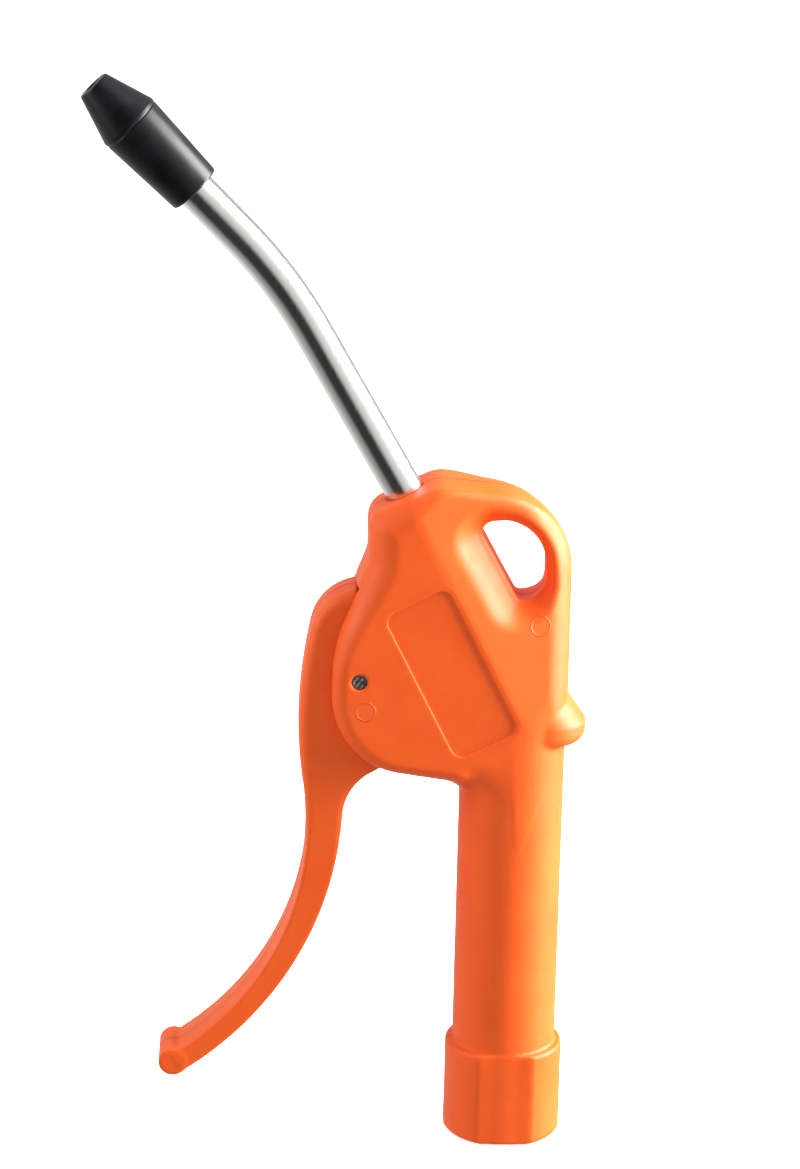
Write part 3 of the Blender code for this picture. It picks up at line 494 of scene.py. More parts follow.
def passages_field(x, y, z):
    """The outlet up to the tube, the inlet from the handle, and the handle's own stepped bore."""
    up, back = slanted(x, z)
    outlet = rod_field(back - OUTLET_BACK, y, up, *OUTLET)
    inlet = rod_field(x - INLET_X, y, z, *INLET)
    insert = rod_field(x, y, z, *INSERT_HOLE)
    bore = rod_field(x, y, z, *HANDLE_BORE)
    return np.minimum(np.minimum(outlet, inlet), np.minimum(insert, bore))


def tube_well_field(x, y, z):
    """A hole for the tube, narrower below it and wider where the brass bush is moulded in."""
    up, back = slanted(x, z)
    hole = rod_field(back, y, up, *TUBE_HOLE)
    foot = rod_field(back, y, up, *AIR_HOLE)
    bush = rod_field(back, y, up, *BUSH_HOLE)
    return np.minimum(hole, np.minimum(foot, bush))


def label_field(x, y, z):
    """A shallow box with round corners, turned to the label's tilt, on both sides."""
    across = np.abs(down_slope(x, z))
    along = -(x - LABEL_CENTRE[0]) * math.sin(LABEL_TILT) + (z - LABEL_CENTRE[1]) * math.cos(LABEL_TILT)
    over_x = across - LABEL_HALF[0] + LABEL_CORNER
    over_z = np.abs(along) - LABEL_HALF[1] + LABEL_CORNER
    corner = np.hypot(np.maximum(over_x, 0.0), np.maximum(over_z, 0.0))
    outline = corner + np.minimum(np.maximum(over_x, over_z), 0.0) - LABEL_CORNER
    return np.maximum(outline - LABEL_MARGIN, HEAD_HALF - LABEL_DEPTH - np.abs(y))


def pin_hole_field(x, y, z):
    """A cylinder round the pivot, a little wider than the pin."""
    return np.hypot(x - PIVOT[0], z - PIVOT[2]) - PIN_RADIUS - 0.15


# %% [markdown]
# ## The whole body
#
# Head, handle, collar and hand stop are joined with small fillets, then the cuts are taken. The
# eye's rim is rounded more at the back. The grid has thin layers at the two flat sides, so that
# the label's shallow recess is caught, and even cells elsewhere; the recess gets its crisp edge
# later, from a piece of its own.

# %% Skin the body


def body_field(x, y, z):
    """Negative inside the plastic: what is joined, less what is cut."""
    head, eye = head_field(x, y, z)
    solid = either(head, handle_field(x, y, z), 0.3)
    solid = either(solid, hand_stop_field(x, y, z), 0.35)
    solid = either(solid, collar_field(x, y, z), 0.4)
    _, back = slanted(x, z)
    solid = both(solid, -eye, 0.45 + 1.7 * ease(11.0, 17.0, back))
    solid = without(solid, slot_field(x, y, z), 0.5)
    solid = np.maximum(solid, -valve_bore_field(x, y, z))
    solid = np.maximum(solid, -passages_field(x, y, z))
    solid = without(solid, tube_well_field(x, y, z), 0.6)
    solid = np.maximum(solid, -label_field(x, y, z))
    return np.maximum(solid, -pin_hole_field(x, y, z))


CELL = 0.56
FINE = 0.2
BODY_LOW, BODY_HIGH = (-39.9, -13.3, -0.83), (17.0, 13.3, 149.0)
side_start = HEAD_HALF - 5 * FINE / 2 - 0.05
side_layers = side_start + np.arange(1, 9) * FINE
inner_layers = np.linspace(-side_start, side_start, 2 * int(side_start / CELL) + 2)
BODY_AXES = (
    np.arange(BODY_LOW[0], BODY_HIGH[0], CELL),
    np.r_[BODY_LOW[1], -side_layers[::-1], inner_layers, side_layers, BODY_HIGH[1]],
    np.arange(BODY_LOW[2], BODY_HIGH[2], CELL),
)
body_points, body_quads = skin_of(body_field, BODY_AXES)
body = piece("body_moulding", body_points, body_quads, "gun_body", "orange_nylon", ("body",))


# %% [markdown]
# ## The lever
#
# The lever is one moulding too. Seen from the side its outline is a chain of arcs, each given as
# a circle's (x, z, radius) and tangent to the next: a round head, a nearly straight front, a long
# sweep down to the bead, and the same sweep back up to a tight crotch under the cheeks. Each
# circle is a field, and a line through two circles' centres says where one hands over to the
# next. The upper edges are well rounded for the hand, and the lower blade's are nearly sharp.

# %% The lever's field
LEVER_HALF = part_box("trigger_lever")[1][1] / MM
FRONT = (50.7, 93.5, 95.9)
ROUND_HEAD = (-31.78, 111.41, 11.5)
SWEEP = (-104.6, 69.9, 61.2)
INNER = (-110.4, 76.5, 75.11)
CROTCH = (-24.0, 72.2, 11.4)
BEAD = (-71.0, 16.4, 3.05)
BEAD_TILT = math.radians(35.5)
ARM_UP, PAD_BACK, HEAD_BACK = -1.63, -23.0, -18.0


def circle_gap(x, z, circle):
    """Distance from the circle, negative inside it."""
    return np.hypot(x - circle[0], z - circle[1]) - circle[2]


def left_of(x, z, start, end):
    """Whether a point lies to the left of the way from one centre to another."""
    return (end[0] - start[0]) * (z - start[1]) - (end[1] - start[1]) * (x - start[0]) > 0


def lever_field(x, y, z):
    """Between the outer chain of arcs and the inner one, ended by the bead and by the pad."""
    up, back = slanted(x, z)
    below_head = left_of(x, z, FRONT, ROUND_HEAD)
    front = np.where(below_head, circle_gap(x, z, FRONT), circle_gap(x, z, ROUND_HEAD))
    outer = np.where(left_of(x, z, SWEEP, FRONT), front, -circle_gap(x, z, SWEEP))
    crotch = np.where(left_of(x, z, INNER, CROTCH), -circle_gap(x, z, CROTCH), circle_gap(x, z, INNER))
    past_crotch = (back > slanted(CROTCH[0], CROTCH[1])[1]) & (z > CROTCH[1])
    inner = np.where(past_crotch, ARM_UP - up, crotch)
    rear = back - PAD_BACK - (HEAD_BACK - PAD_BACK) * ease(12.0, 16.0, up)
    outline = np.maximum(both(outer, inner, 0.3), rear)
    past_bead = -(x - BEAD[0]) * math.cos(BEAD_TILT) - (z - BEAD[1]) * math.sin(BEAD_TILT)
    outline = np.maximum(outline, past_bead)
    rim = 0.45 + 1.35 * ease(58.0, 84.0, z)
    blade = both(outline + 1.2 * DRAFT * np.abs(y), np.abs(y) - LEVER_HALF + 0.05, rim)
    bead = both(circle_gap(x, z, BEAD), np.abs(y) - LEVER_HALF, 0.4)
    solid = either(blade, bead, 0.35)
    hole = np.hypot(x - PIVOT[0], z - PIVOT[2]) - PIN_RADIUS - 0.2
    return np.maximum(solid, -hole)


LEVER_CELL = 0.42
lever_low, lever_high = (np.array(corner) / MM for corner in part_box("trigger_lever"))
LEVER_AXES = [
    np.arange(low - 0.61, high + 2 * LEVER_CELL, LEVER_CELL) for low, high in zip(lever_low, lever_high)
]
lever_points, lever_quads = skin_of(lever_field, LEVER_AXES)
lever = piece("lever_moulding", lever_points, lever_quads, "lever", "orange_nylon", ("trigger_lever",))

# %% [markdown]
# ## The nozzle tube
#
# The tube is drawn steel with a bright finish: straight out of the mouth, one gentle bend, then
# straight to the tip. It is a closed profile, outside wall and bore, carried along the centre
# line. The centre line is a curve of three parts, worked out from the tilt and the bend.

# %% Profiles round a line


def carried(path, tangents, profile, steps):
    """A closed ring of (radius, along) points turned round each place of a straight or bent line:
    point = place + tangent * along + (side * cos + other * sin) * radius."""
    angle = np.linspace(0.0, 2 * math.pi, steps, endpoint=False)
    other = np.stack([-tangents[:, 2], np.zeros(len(path)), tangents[:, 0]], 1)
    side = np.array([0.0, 1.0, 0.0])
    spokes = side * np.cos(angle)[None, :, None] + other[:, None, :] * np.sin(angle)[None, :, None]
    radius, along = profile[:, 0], profile[:, 1]
    places = path + tangents * along[:, None]
    return places[:, None, :] + spokes * radius[:, None, None]


def ring_faces(rows, columns, closed_rows=True):
    """Quads of a grid whose columns close on themselves, and its rows too if asked."""
    row = np.arange(rows if closed_rows else rows - 1)[:, None]
    column = np.arange(columns)[None, :]
    after_row, after_column = (row + 1) % rows, (column + 1) % columns
    corners = [
        row * columns + column,
        row * columns + after_column,
        after_row * columns + after_column,
        after_row * columns + column,
    ]
    return np.stack(np.broadcast_arrays(*corners), -1).reshape(-1, 4)


def facing_out(points, faces):
    """Turn every face round if the closed shape's signed volume comes out negative."""
    a, b, c, d = (points[faces[:, corner]] for corner in range(4))
    volume = (np.cross(a, b) * c).sum() + (np.cross(a, c) * d).sum()
    return faces if volume > 0 else faces[:, ::-1]


def turned(profile, start, lean, steps=72):
    """A closed (radius, along) profile spun about an axis that leans from +Z towards -X."""
    tangent = np.array([-math.sin(lean), 0.0, math.cos(lean)])
    rows = len(profile)
    grid = carried(np.tile(start, (rows, 1)), np.tile(tangent, (rows, 1)), profile, steps)
    points = grid.reshape(-1, 3)
    return points, facing_out(points, ring_faces(rows, steps))


def rounded_profile(corners, step_degrees=15.0):
    """A closed (radius, along) profile from (radius, along, rounding) corners: each rounding is an
    arc tangent to both sides, and a corner without one stays sharp."""
    points = []
    corners = np.array(corners, float)
    for index, corner in enumerate(corners):
        last, after = corners[index - 1], corners[(index + 1) % len(corners)]
        to_last, to_next = last[:2] - corner[:2], after[:2] - corner[:2]
        to_last, to_next = to_last / np.linalg.norm(to_last), to_next / np.linalg.norm(to_next)
        half = math.acos(np.clip(to_last @ to_next, -1.0, 1.0)) / 2
        if corner[2] <= 0 or half > 1.55:
            points.append(corner[None, :2])
            continue
        bisector = (to_last + to_next) / np.linalg.norm(to_last + to_next)
        centre = corner[:2] + bisector * corner[2] / math.sin(half)
        first = corner[:2] + to_last * corner[2] / math.tan(half) - centre
        turn = math.pi - 2 * half
        sense = 1.0 if to_last[0] * to_next[1] - to_last[1] * to_next[0] < 0 else -1.0
        angle = sense * np.linspace(0.0, turn, max(2, round(math.degrees(turn) / step_degrees)) + 1)
        across = first[0] * np.cos(angle) - first[1] * np.sin(angle)
        along = first[0] * np.sin(angle) + first[1] * np.cos(angle)
        points.append(centre + np.stack([across, along], 1))
    return np.concatenate(points)


# %% Centre line of the tube
TUBE_START, BEND_START, BEND_RADIUS = 24.0, 86.6, 100.0
BEND_ANGLE = math.radians(14.6)
UPPER_LENGTH = 29.5
TUBE_BORE = TUBE_RADIUS - 0.9
TUBE_STEPS = 72
EDGE = 0.15


def tube_line(distance):
    """(place, tangent) at each distance from the lower end: the lean stays at the tilt, then grows
    evenly through the bend, and the place is the sum of straight, arc and straight parts."""
    straight = BEND_START - TUBE_START
    bent = np.clip(distance - straight, 0.0, BEND_RADIUS * BEND_ANGLE)
    turn = bent / BEND_RADIUS
    lean = TUBE_TILT + turn
    first = np.minimum(distance, straight)
    last = np.maximum(distance - straight - BEND_RADIUS * BEND_ANGLE, 0.0)
    start = from_slanted(TUBE_START, 0.0)
    x = start[0] + first * UP_X + BEND_RADIUS * (np.cos(lean) - math.cos(TUBE_TILT)) - last * np.sin(lean)
    z = start[1] + first * UP_Z + BEND_RADIUS * (np.sin(lean) - math.sin(TUBE_TILT)) + last * np.cos(lean)
    place = np.stack([x, np.zeros_like(x), z], 1)
    return place, np.stack([-np.sin(lean), np.zeros_like(lean), np.cos(lean)], 1)


TUBE_LENGTH = BEND_START - TUBE_START + BEND_RADIUS * BEND_ANGLE + UPPER_LENGTH
middle = np.linspace(4 * EDGE, TUBE_LENGTH - 4 * EDGE, 110)
outside = np.r_[0.0, EDGE, middle, TUBE_LENGTH - EDGE, TUBE_LENGTH]
wall = np.full(len(outside), TUBE_RADIUS)
wall[[0, -1]] -= EDGE
wall_places = np.concatenate([outside, outside[::-1]])
wall_radii = np.concatenate([wall, np.full(len(outside), TUBE_BORE)])
places, tangents = tube_line(wall_places)
wall_profile = np.stack([wall_radii, np.zeros(len(wall_radii))], 1)
tube_points = carried(places, tangents, wall_profile, TUBE_STEPS).reshape(-1, 3)
tube_faces = facing_out(tube_points, ring_faces(len(wall_radii), TUBE_STEPS))
tube = piece("bright_tube", tube_points, tube_faces, "gun_body", "chromed_tube", ("nozzle_tube",))
print("tube length", round(TUBE_LENGTH, 1), "mm")

# %% [markdown]
# ## The label's rim
#
# The label lies in a recess only 0.4 mm deep, finer than the body's cells, so the body is cut a
# little wide there and a narrow closed rim makes the edge itself: one small profile, a rounded
# lip, a wall and the recess's floor, carried round the label's outline on each side.

# %% Rim of the label's recess
RIM_STEPS = 10
RIM_PROFILE = rounded_profile(
    (
        (1.15, 0.008, 0.0),
        (0.08, 0.008, 0.22),
        (-0.08, -0.38, 0.16),
        (-1.00, -0.38, 0.0),
        (-1.00, -0.70, 0.0),
        (1.15, -0.70, 0.0),
    )
)


def label_rim(side):
    """Outline point = corner centre + direction * (corner radius + offset), turned by the tilt;
    the direction goes round a quarter turn at each corner, and y = half width + height."""
    quarter = np.linspace(0.0, math.pi / 2, RIM_STEPS)
    heading = (quarter[None, :] + (np.arange(4) * math.pi / 2)[:, None]).reshape(-1)
    corner_x = np.repeat((1.0, -1.0, -1.0, 1.0), RIM_STEPS) * (LABEL_HALF[0] - LABEL_CORNER)
    corner_z = np.repeat((1.0, 1.0, -1.0, -1.0), RIM_STEPS) * (LABEL_HALF[1] - LABEL_CORNER)
    reach = LABEL_CORNER + RIM_PROFILE[:, 0][:, None]
    across = corner_x + np.cos(heading) * reach
    along = corner_z + np.sin(heading) * reach
    x = LABEL_CENTRE[0] + across * math.cos(LABEL_TILT) - along * math.sin(LABEL_TILT)
    z = LABEL_CENTRE[1] + across * math.sin(LABEL_TILT) + along * math.cos(LABEL_TILT)
    y = side * (HEAD_HALF + RIM_PROFILE[:, 1][:, None] + 0 * x)
    points = np.stack([x, y, z], -1).reshape(-1, 3)
    return points, facing_out(points, ring_faces(len(RIM_PROFILE), len(heading)))


rims = []
for side, rim_name in ((-1.0, "label_rim_near"), (1.0, "label_rim_far")):
    rim = piece(rim_name, *label_rim(side), "gun_body", "orange_nylon")
    rim.data.set_sharp_from_angle(angle=math.radians(40.0))
    rims.append(rim)

# %% [markdown]
# ## The rubber tip
#
# The tip is a soft sleeve pushed over the tube's end. It widens slowly to a shoulder with a fine
# moulded ring, tapers in a cone to a small flat face, and the air leaves by a small hole. One
# profile spun round the tube's end makes it, with every edge rounded a little.

# %% Rubber tip
TIP_START, TIP_LENGTH, SHOULDER = 12.5, 29.3, 19.2
bend_end, _ = tube_line(np.array([TUBE_LENGTH - UPPER_LENGTH]))
tip_lean = TUBE_TILT + BEND_ANGLE
tip_end = TIP_START + TIP_LENGTH
shoulder = TIP_START + SHOULDER
tip_profile = rounded_profile(
    (
        (TUBE_RADIUS + 0.06, TIP_START, 0.25),
        (5.65, TIP_START, 0.55),
        (6.52, shoulder - 1.1, 0.1),
        (6.36, shoulder - 0.85, 0.1),
        (6.58, shoulder - 0.6, 0.15),
        (6.58, shoulder, 0.5),
        (3.42, tip_end, 0.55),
        (1.65, tip_end, 0.35),
        (1.65, UPPER_LENGTH + 0.3, 0.1),
        (TUBE_RADIUS + 0.06, UPPER_LENGTH + 0.3, 0.1),
    )
)
tip_points, tip_faces = turned(tip_profile, bend_end[0], tip_lean, 96)
tip = piece("rubber_nose", tip_points, tip_faces, "gun_body", "black_rubber", ("rubber_tip",))

# %% [markdown]
# ## The pivot pin
#
# The pin is cropped from drawn wire and pressed in from the side, so its ends are rough: a burr
# round the edge and a torn, uneven face. The end face is a disc of rings whose height follows a
# few sine waves, the same at both ends, and the shank is a plain cylinder between them.

# %% Pivot pin
PIN_HALF = PIN_HIGH[1]
PIN_STEPS, FACE_RINGS = 40, 9


def cropped_pin():
    """Rings from one end's centre to the other's: radius and height along the pin, with the faces'
    height the product of two sine waves across, fading out at the edge."""
    half_radius = np.r_[np.linspace(0.0, PIN_RADIUS - 0.12, FACE_RINGS), PIN_RADIUS - 0.03, PIN_RADIUS]
    radius = np.concatenate([half_radius, half_radius[::-1]])
    half = np.concatenate([np.full(FACE_RINGS, PIN_HALF - 0.02), [PIN_HALF, PIN_HALF - 0.12]])
    along = np.concatenate([-half, half[::-1]])
    radius[[0, -1]] = 0.02
    angle = np.linspace(0.0, 2 * math.pi, PIN_STEPS, endpoint=False)
    x = radius[:, None] * np.cos(angle)
    z = radius[:, None] * np.sin(angle)
    torn = 0.16 * np.sin(3.1 * x + 1.0) * np.sin(4.3 * z - 2.2 * x) - 0.08
    torn *= ease(PIN_RADIUS - 0.1, PIN_RADIUS - 0.6, radius)[:, None]
    y = along[:, None] + np.sign(along)[:, None] * torn
    points = np.stack([PIVOT[0] + x, y, PIVOT[2] + z], -1).reshape(-1, 3)
    faces = ring_faces(len(radius), PIN_STEPS, closed_rows=False)
    last = len(points) - PIN_STEPS
    ends = [list(range(PIN_STEPS - 1, -1, -1)), list(range(last, last + PIN_STEPS))]
    return points, facing_out(points, faces).tolist() + ends


pin_points, pin_faces = cropped_pin()
pin = piece("pin_with_cropped_ends", pin_points, pin_faces, "gun_body", "steel", ("lever_pivot_pin",))

# %% [markdown]
# ## The threaded insert
#
# The hose screws into a brass insert that the plastic grips by its grooves. Its inside is a real
# screw thread: the bore's radius is a function of two parameters, the angle and the height. Going
# once round shifts the rounded V by one pitch, which is all that makes a thread a helix.

# %% Threaded insert
PITCH, MINOR, MAJOR = 1.337, 5.75, 6.56
INSERT_LOW, INSERT_HIGH = (corner[2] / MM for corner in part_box("inlet_insert"))
INSERT_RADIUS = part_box("inlet_insert")[1][1] / MM


def threaded_insert(rows=150, steps=72):
    """Bore radius = major - depth * rounded V(height / pitch - angle / turn), eased to a plain
    countersink at the lower end, then closed by the end faces and the grooved outside."""
    angle = np.linspace(0.0, 2 * math.pi, steps, endpoint=False)
    height = np.linspace(INSERT_HIGH - 0.2, INSERT_LOW + 0.2, rows)[:, None]
    phase = (height / PITCH - angle[None, :] / (2 * math.pi)) % 1.0
    tooth = np.clip(1.5 * np.abs(2.0 * phase - 1.0) - 0.25, 0.0, 1.0)
    bore = MAJOR - (MAJOR - MINOR) * tooth
    bore = bore + (MAJOR + 0.25 - bore) * ease(INSERT_LOW + 1.5, INSERT_LOW + 0.4, height)
    groove = 0.5 * np.cos((height - INSERT_LOW) * 2 * math.pi / 4.67)
    outside = INSERT_RADIUS - np.clip(-groove, 0.0, 0.5)
    radius = np.concatenate([bore, (outside + 0 * bore)[::-1]])
    level = np.concatenate([height + 0 * bore, (height + 0 * bore)[::-1]])
    level[0], level[2 * rows - 1] = INSERT_HIGH, INSERT_HIGH
    level[rows - 1], level[rows] = INSERT_LOW, INSERT_LOW
    points = np.stack([radius * np.cos(angle), radius * np.sin(angle), level], -1).reshape(-1, 3)
    return points, facing_out(points, ring_faces(2 * rows, steps))


insert_points, insert_faces = threaded_insert()
insert = piece("threaded_insert", insert_points, insert_faces, "gun_body", "brass", ("inlet_insert",))

# %% [markdown]
# ## Finishes
#
# Every finish is a few shader nodes that read Object coordinates, so the pattern is fixed to the
# piece. The moulding is dyed nylon: a little light goes in and comes back out warmer, the skin is
# satin, and very low waves and a fine grain break up its reflections, as a real mould leaves it.

# %% Finish helpers


def finish(name, colour, roughness, metallic=0.0):
    """A Principled finish and the nodes to build on."""
    made = bpy.data.materials.new(name)
    made.use_nodes = True
    nodes, links = made.node_tree.nodes, made.node_tree.links
    shader = nodes["Principled BSDF"]
    shader.inputs["Base Color"].default_value = (*colour, 1.0)
    shader.inputs["Roughness"].default_value = roughness
    shader.inputs["Metallic"].default_value = metallic
    place = nodes.new("ShaderNodeTexCoord").outputs["Object"]
    return made, nodes, links, shader, place


def noise(nodes, links, place, scale, detail=3.0, roughness=0.55):
    """A noise pattern with so many cells to a metre."""
    made = nodes.new("ShaderNodeTexNoise")
    made.inputs["Scale"].default_value = scale
    made.inputs["Detail"].default_value = detail
    made.inputs["Roughness"].default_value = roughness
    links.new(place, made.inputs["Vector"])
    return made.outputs["Fac"]


def ramp(nodes, links, value, stops):
    """A colour ramp: (position, colour) pairs from low to high."""
    made = nodes.new("ShaderNodeValToRGB")
    elements = made.color_ramp.elements
    while len(elements) < len(stops):
        elements.new(0.5)
    for element, (position, colour) in zip(elements, stops):
        element.position = position
        element.color = (*colour, 1.0)
    links.new(value, made.inputs["Fac"])
    return made.outputs["Color"]


def grey(value):
    """A colour with no hue."""
    return (value, value, value)


def bumped(nodes, links, shader, height, strength, distance, base=None):
    """A bump from a height of so many metres, over another bump's normal if one is given."""
    made = nodes.new("ShaderNodeBump")
    made.inputs["Strength"].default_value = strength
    made.inputs["Distance"].default_value = distance
    links.new(height, made.inputs["Height"])
    if base is not None:
        links.new(base, made.inputs["Normal"])
    links.new(made.outputs["Normal"], shader.inputs["Normal"])
    return made.outputs["Normal"]


# %% Orange nylon
NYLON = (0.90, 0.112, 0.009)
EJECTOR_MARKS = ((-31.3, 98.0), (4.6, 116.1))
MARK_RADIUS = 2.0
PARTING_WIDTH, PARTING_TOP, MARK_WIDTH = 0.6, 2.4, 0.2
LINE_STEP = 0.00022


def line_height(nodes, links, distance, at, width, top=1.0):
    """The top where the distance is at a value, falling to 0 one width away on both sides."""
    off = nodes.new("ShaderNodeMath")
    off.operation = "SUBTRACT"
    off.inputs[1].default_value = at * MM
    links.new(distance, off.inputs[0])
    size = nodes.new("ShaderNodeMath")
    size.operation = "ABSOLUTE"
    links.new(off.outputs["Value"], size.inputs[0])
    fade = nodes.new("ShaderNodeMapRange")
    fade.interpolation_type = "SMOOTHSTEP"
    fade.inputs["From Min"].default_value = 0.0
    fade.inputs["From Max"].default_value = width * MM
    fade.inputs["To Min"].default_value = top
    fade.inputs["To Max"].default_value = 0.0
    links.new(size.outputs["Value"], fade.inputs["Value"])
    return fade.outputs["Result"]


def added(nodes, links, heights):
    """The sum of several heights."""
    total = heights[0]
    for height in heights[1:]:
        plus = nodes.new("ShaderNodeMath")
        plus.operation = "ADD"
        links.new(total, plus.inputs[0])
        links.new(height, plus.inputs[1])
        total = plus.outputs["Value"]
    return total


def orange_nylon(name, marks=()):
    """Dyed nylon: faint clouds in the colour, a satin skin, low waves and a fine grain, with the
    mould's parting line at Y = 0 and a fine ring at each ejector mark."""
    made, nodes, links, shader, place = finish(name, NYLON, 0.5)
    clouds = noise(nodes, links, place, 90.0, 2.0)
    tint = ramp(nodes, links, clouds, ((0.35, (0.88, 0.104, 0.007)), (0.65, (0.91, 0.118, 0.010))))
    links.new(tint, shader.inputs["Base Color"])
    skin = noise(nodes, links, place, 420.0, 4.0)
    satin = ramp(nodes, links, skin, ((0.3, grey(0.45)), (0.7, grey(0.55))))
    links.new(satin, shader.inputs["Roughness"])
    shader.inputs["Specular IOR Level"].default_value = 0.34
    shader.inputs["Subsurface Weight"].default_value = 0.15
    shader.inputs["Subsurface Radius"].default_value = (1.0, 0.35, 0.12)
    shader.inputs["Subsurface Scale"].default_value = 0.0012
    shader.inputs["IOR"].default_value = 1.5
    waves = bumped(nodes, links, shader, noise(nodes, links, place, 130.0, 1.0), 0.014, 0.0006)
    grain = noise(nodes, links, place, 3200.0, 2.0)
    normal = bumped(nodes, links, shader, grain, 0.10, 0.00006, waves)
    split = nodes.new("ShaderNodeSeparateXYZ")
    links.new(place, split.inputs["Vector"])
    heights = [line_height(nodes, links, split.outputs["Y"], 0.0, PARTING_WIDTH, PARTING_TOP)]
    flat = nodes.new("ShaderNodeVectorMath")
    flat.operation = "MULTIPLY"
    flat.inputs[1].default_value = (1.0, 0.0, 1.0)
    links.new(place, flat.inputs[0])
    for x, z in marks:
        reach = nodes.new("ShaderNodeVectorMath")
        reach.operation = "DISTANCE"
        reach.inputs[1].default_value = (x * MM, 0.0, z * MM)
        links.new(flat.outputs["Vector"], reach.inputs[0])
        heights.append(line_height(nodes, links, reach.outputs["Value"], MARK_RADIUS, MARK_WIDTH))
    bumped(nodes, links, shader, added(nodes, links, heights), 0.8, LINE_STEP, normal)
    return made


body_nylon = orange_nylon("orange_nylon_body", EJECTOR_MARKS)
for moulded in (body, *rims):
    moulded.data.materials.append(body_nylon)
lever.data.materials.append(orange_nylon("orange_nylon_lever"))

# %% [markdown]
# The tube's steel is ground and bright-plated, with fine drawing lines along it. A noise that a
# Mapping node stretches along the tube's mean direction stands for them. The rubbers are near
# black, and the brass, the spring's wire and the pin's torn ends each get a metal of their own.

# %% Metals and rubber


def bright_steel():
    """Bright metal with faint lines along its length and a slight variation in gloss."""
    made, nodes, links, shader, place = finish("bright_drawn_steel", (0.86, 0.85, 0.83), 0.16, 1.0)
    stretch = nodes.new("ShaderNodeMapping")
    stretch.inputs["Rotation"].default_value = (0.0, TUBE_TILT + BEND_ANGLE / 2, 0.0)
    stretch.inputs["Scale"].default_value = (1.0, 1.0, 0.03)
    links.new(place, stretch.inputs["Vector"])
    lines = noise(nodes, links, stretch.outputs["Vector"], 2600.0, 3.0)
    gloss = ramp(nodes, links, lines, ((0.3, grey(0.13)), (0.7, grey(0.24))))
    links.new(gloss, shader.inputs["Roughness"])
    bumped(nodes, links, shader, lines, 0.12, 0.00002)
    return made


def black_rubber():
    """Moulded rubber: near black with a broad soft sheen, and a faint bloom in patches."""
    made, nodes, links, shader, place = finish("black_moulded_rubber", (0.006, 0.006, 0.007), 0.36)
    bloom = noise(nodes, links, place, 160.0, 3.0)
    tint = ramp(nodes, links, bloom, ((0.4, (0.004, 0.004, 0.005)), (0.7, (0.008, 0.008, 0.010))))
    links.new(tint, shader.inputs["Base Color"])
    soft = ramp(nodes, links, bloom, ((0.3, grey(0.31)), (0.7, grey(0.40))))
    links.new(soft, shader.inputs["Roughness"])
    shader.inputs["Specular IOR Level"].default_value = 0.28
    bumped(nodes, links, shader, noise(nodes, links, place, 2400.0, 2.0), 0.12, 0.00005)
    return made


def cropped_steel():
    """Wire steel with a torn grey end: patchy roughness and bright and dark flecks."""
    made, nodes, links, shader, place = finish("cropped_steel", (0.30, 0.31, 0.32), 0.4, 1.0)
    flecks = noise(nodes, links, place, 1500.0, 4.0, 0.7)
    tint = ramp(nodes, links, flecks, ((0.35, grey(0.12)), (0.55, grey(0.34)), (0.72, grey(0.75))))
    links.new(tint, shader.inputs["Base Color"])
    links.new(ramp(nodes, links, flecks, ((0.3, grey(0.55)), (0.7, grey(0.28)))), shader.inputs["Roughness"])
    bumped(nodes, links, shader, flecks, 0.5, 0.0001)
    return made


def turned_brass():
    """Brass off the lathe: fine rings across it and a slightly uneven tarnish."""
    made, nodes, links, shader, place = finish("turned_brass", (0.72, 0.50, 0.20), 0.25, 1.0)
    tarnish = noise(nodes, links, place, 300.0, 3.0)
    tint = ramp(nodes, links, tarnish, ((0.3, (0.62, 0.41, 0.15)), (0.7, (0.78, 0.56, 0.25))))
    links.new(tint, shader.inputs["Base Color"])
    links.new(ramp(nodes, links, tarnish, ((0.3, grey(0.34)), (0.7, grey(0.20)))), shader.inputs["Roughness"])
    bumped(nodes, links, shader, noise(nodes, links, place, 2800.0, 2.0), 0.15, 0.00003)
    return made


def spring_steel():
    """Hard drawn wire: a darker bright steel with a fine grain."""
    made, nodes, links, shader, place = finish("spring_wire", (0.46, 0.46, 0.48), 0.28, 1.0)
    grain = noise(nodes, links, place, 1800.0, 3.0)
    links.new(ramp(nodes, links, grain, ((0.3, grey(0.22)), (0.7, grey(0.36)))), shader.inputs["Roughness"])
    return made


def nitrile_rubber():
    """Matt black seal rubber with a fine moulded grain."""
    made, nodes, links, shader, place = finish("nitrile_seal", (0.02, 0.02, 0.021), 0.6)
    grain = noise(nodes, links, place, 1400.0, 3.0)
    links.new(ramp(nodes, links, grain, ((0.3, grey(0.5)), (0.7, grey(0.7)))), shader.inputs["Roughness"])
    bumped(nodes, links, shader, grain, 0.2, 0.00004)
    return made


brass, nitrile, wire = turned_brass(), nitrile_rubber(), spring_steel()
tube.data.materials.append(bright_steel())
tip.data.materials.append(black_rubber())
pin.data.materials.append(cropped_steel())
insert.data.materials.append(brass)
CARRIED_OVER = {
    "valve_sleeve": brass,
    "valve_gland_nut": brass,
    "valve_stem": brass,
    "tube_bush": brass,
    "valve_spring": wire,
    "sleeve_o_ring_front": nitrile,
    "sleeve_o_ring_rear": nitrile,
    "stem_o_ring": nitrile,
    "poppet_seal": nitrile,
    "tube_o_ring": nitrile,
}
for name, look in CARRIED_OVER.items():
    mesh = frame["nodes"][name].data
    mesh.materials.clear()
    mesh.materials.append(look)
print("carried over:", sorted(CARRIED_OVER))

# %% [markdown]
# ## Floor, light and camera
#
# The gun stands on its inlet on a plain white floor. A large soft light comes from the right,
# nearly along the flat sides, so the slope beside the label reads clearly against the flat, and
# a weak one comes from the left. The surroundings are white to the camera and an even grey to
# diffuse rays. Reflections see a ring of brighter and darker stretches, and the darkest, to the
# left of the camera, gives the bright tube its dark stripe, as a dark room would.

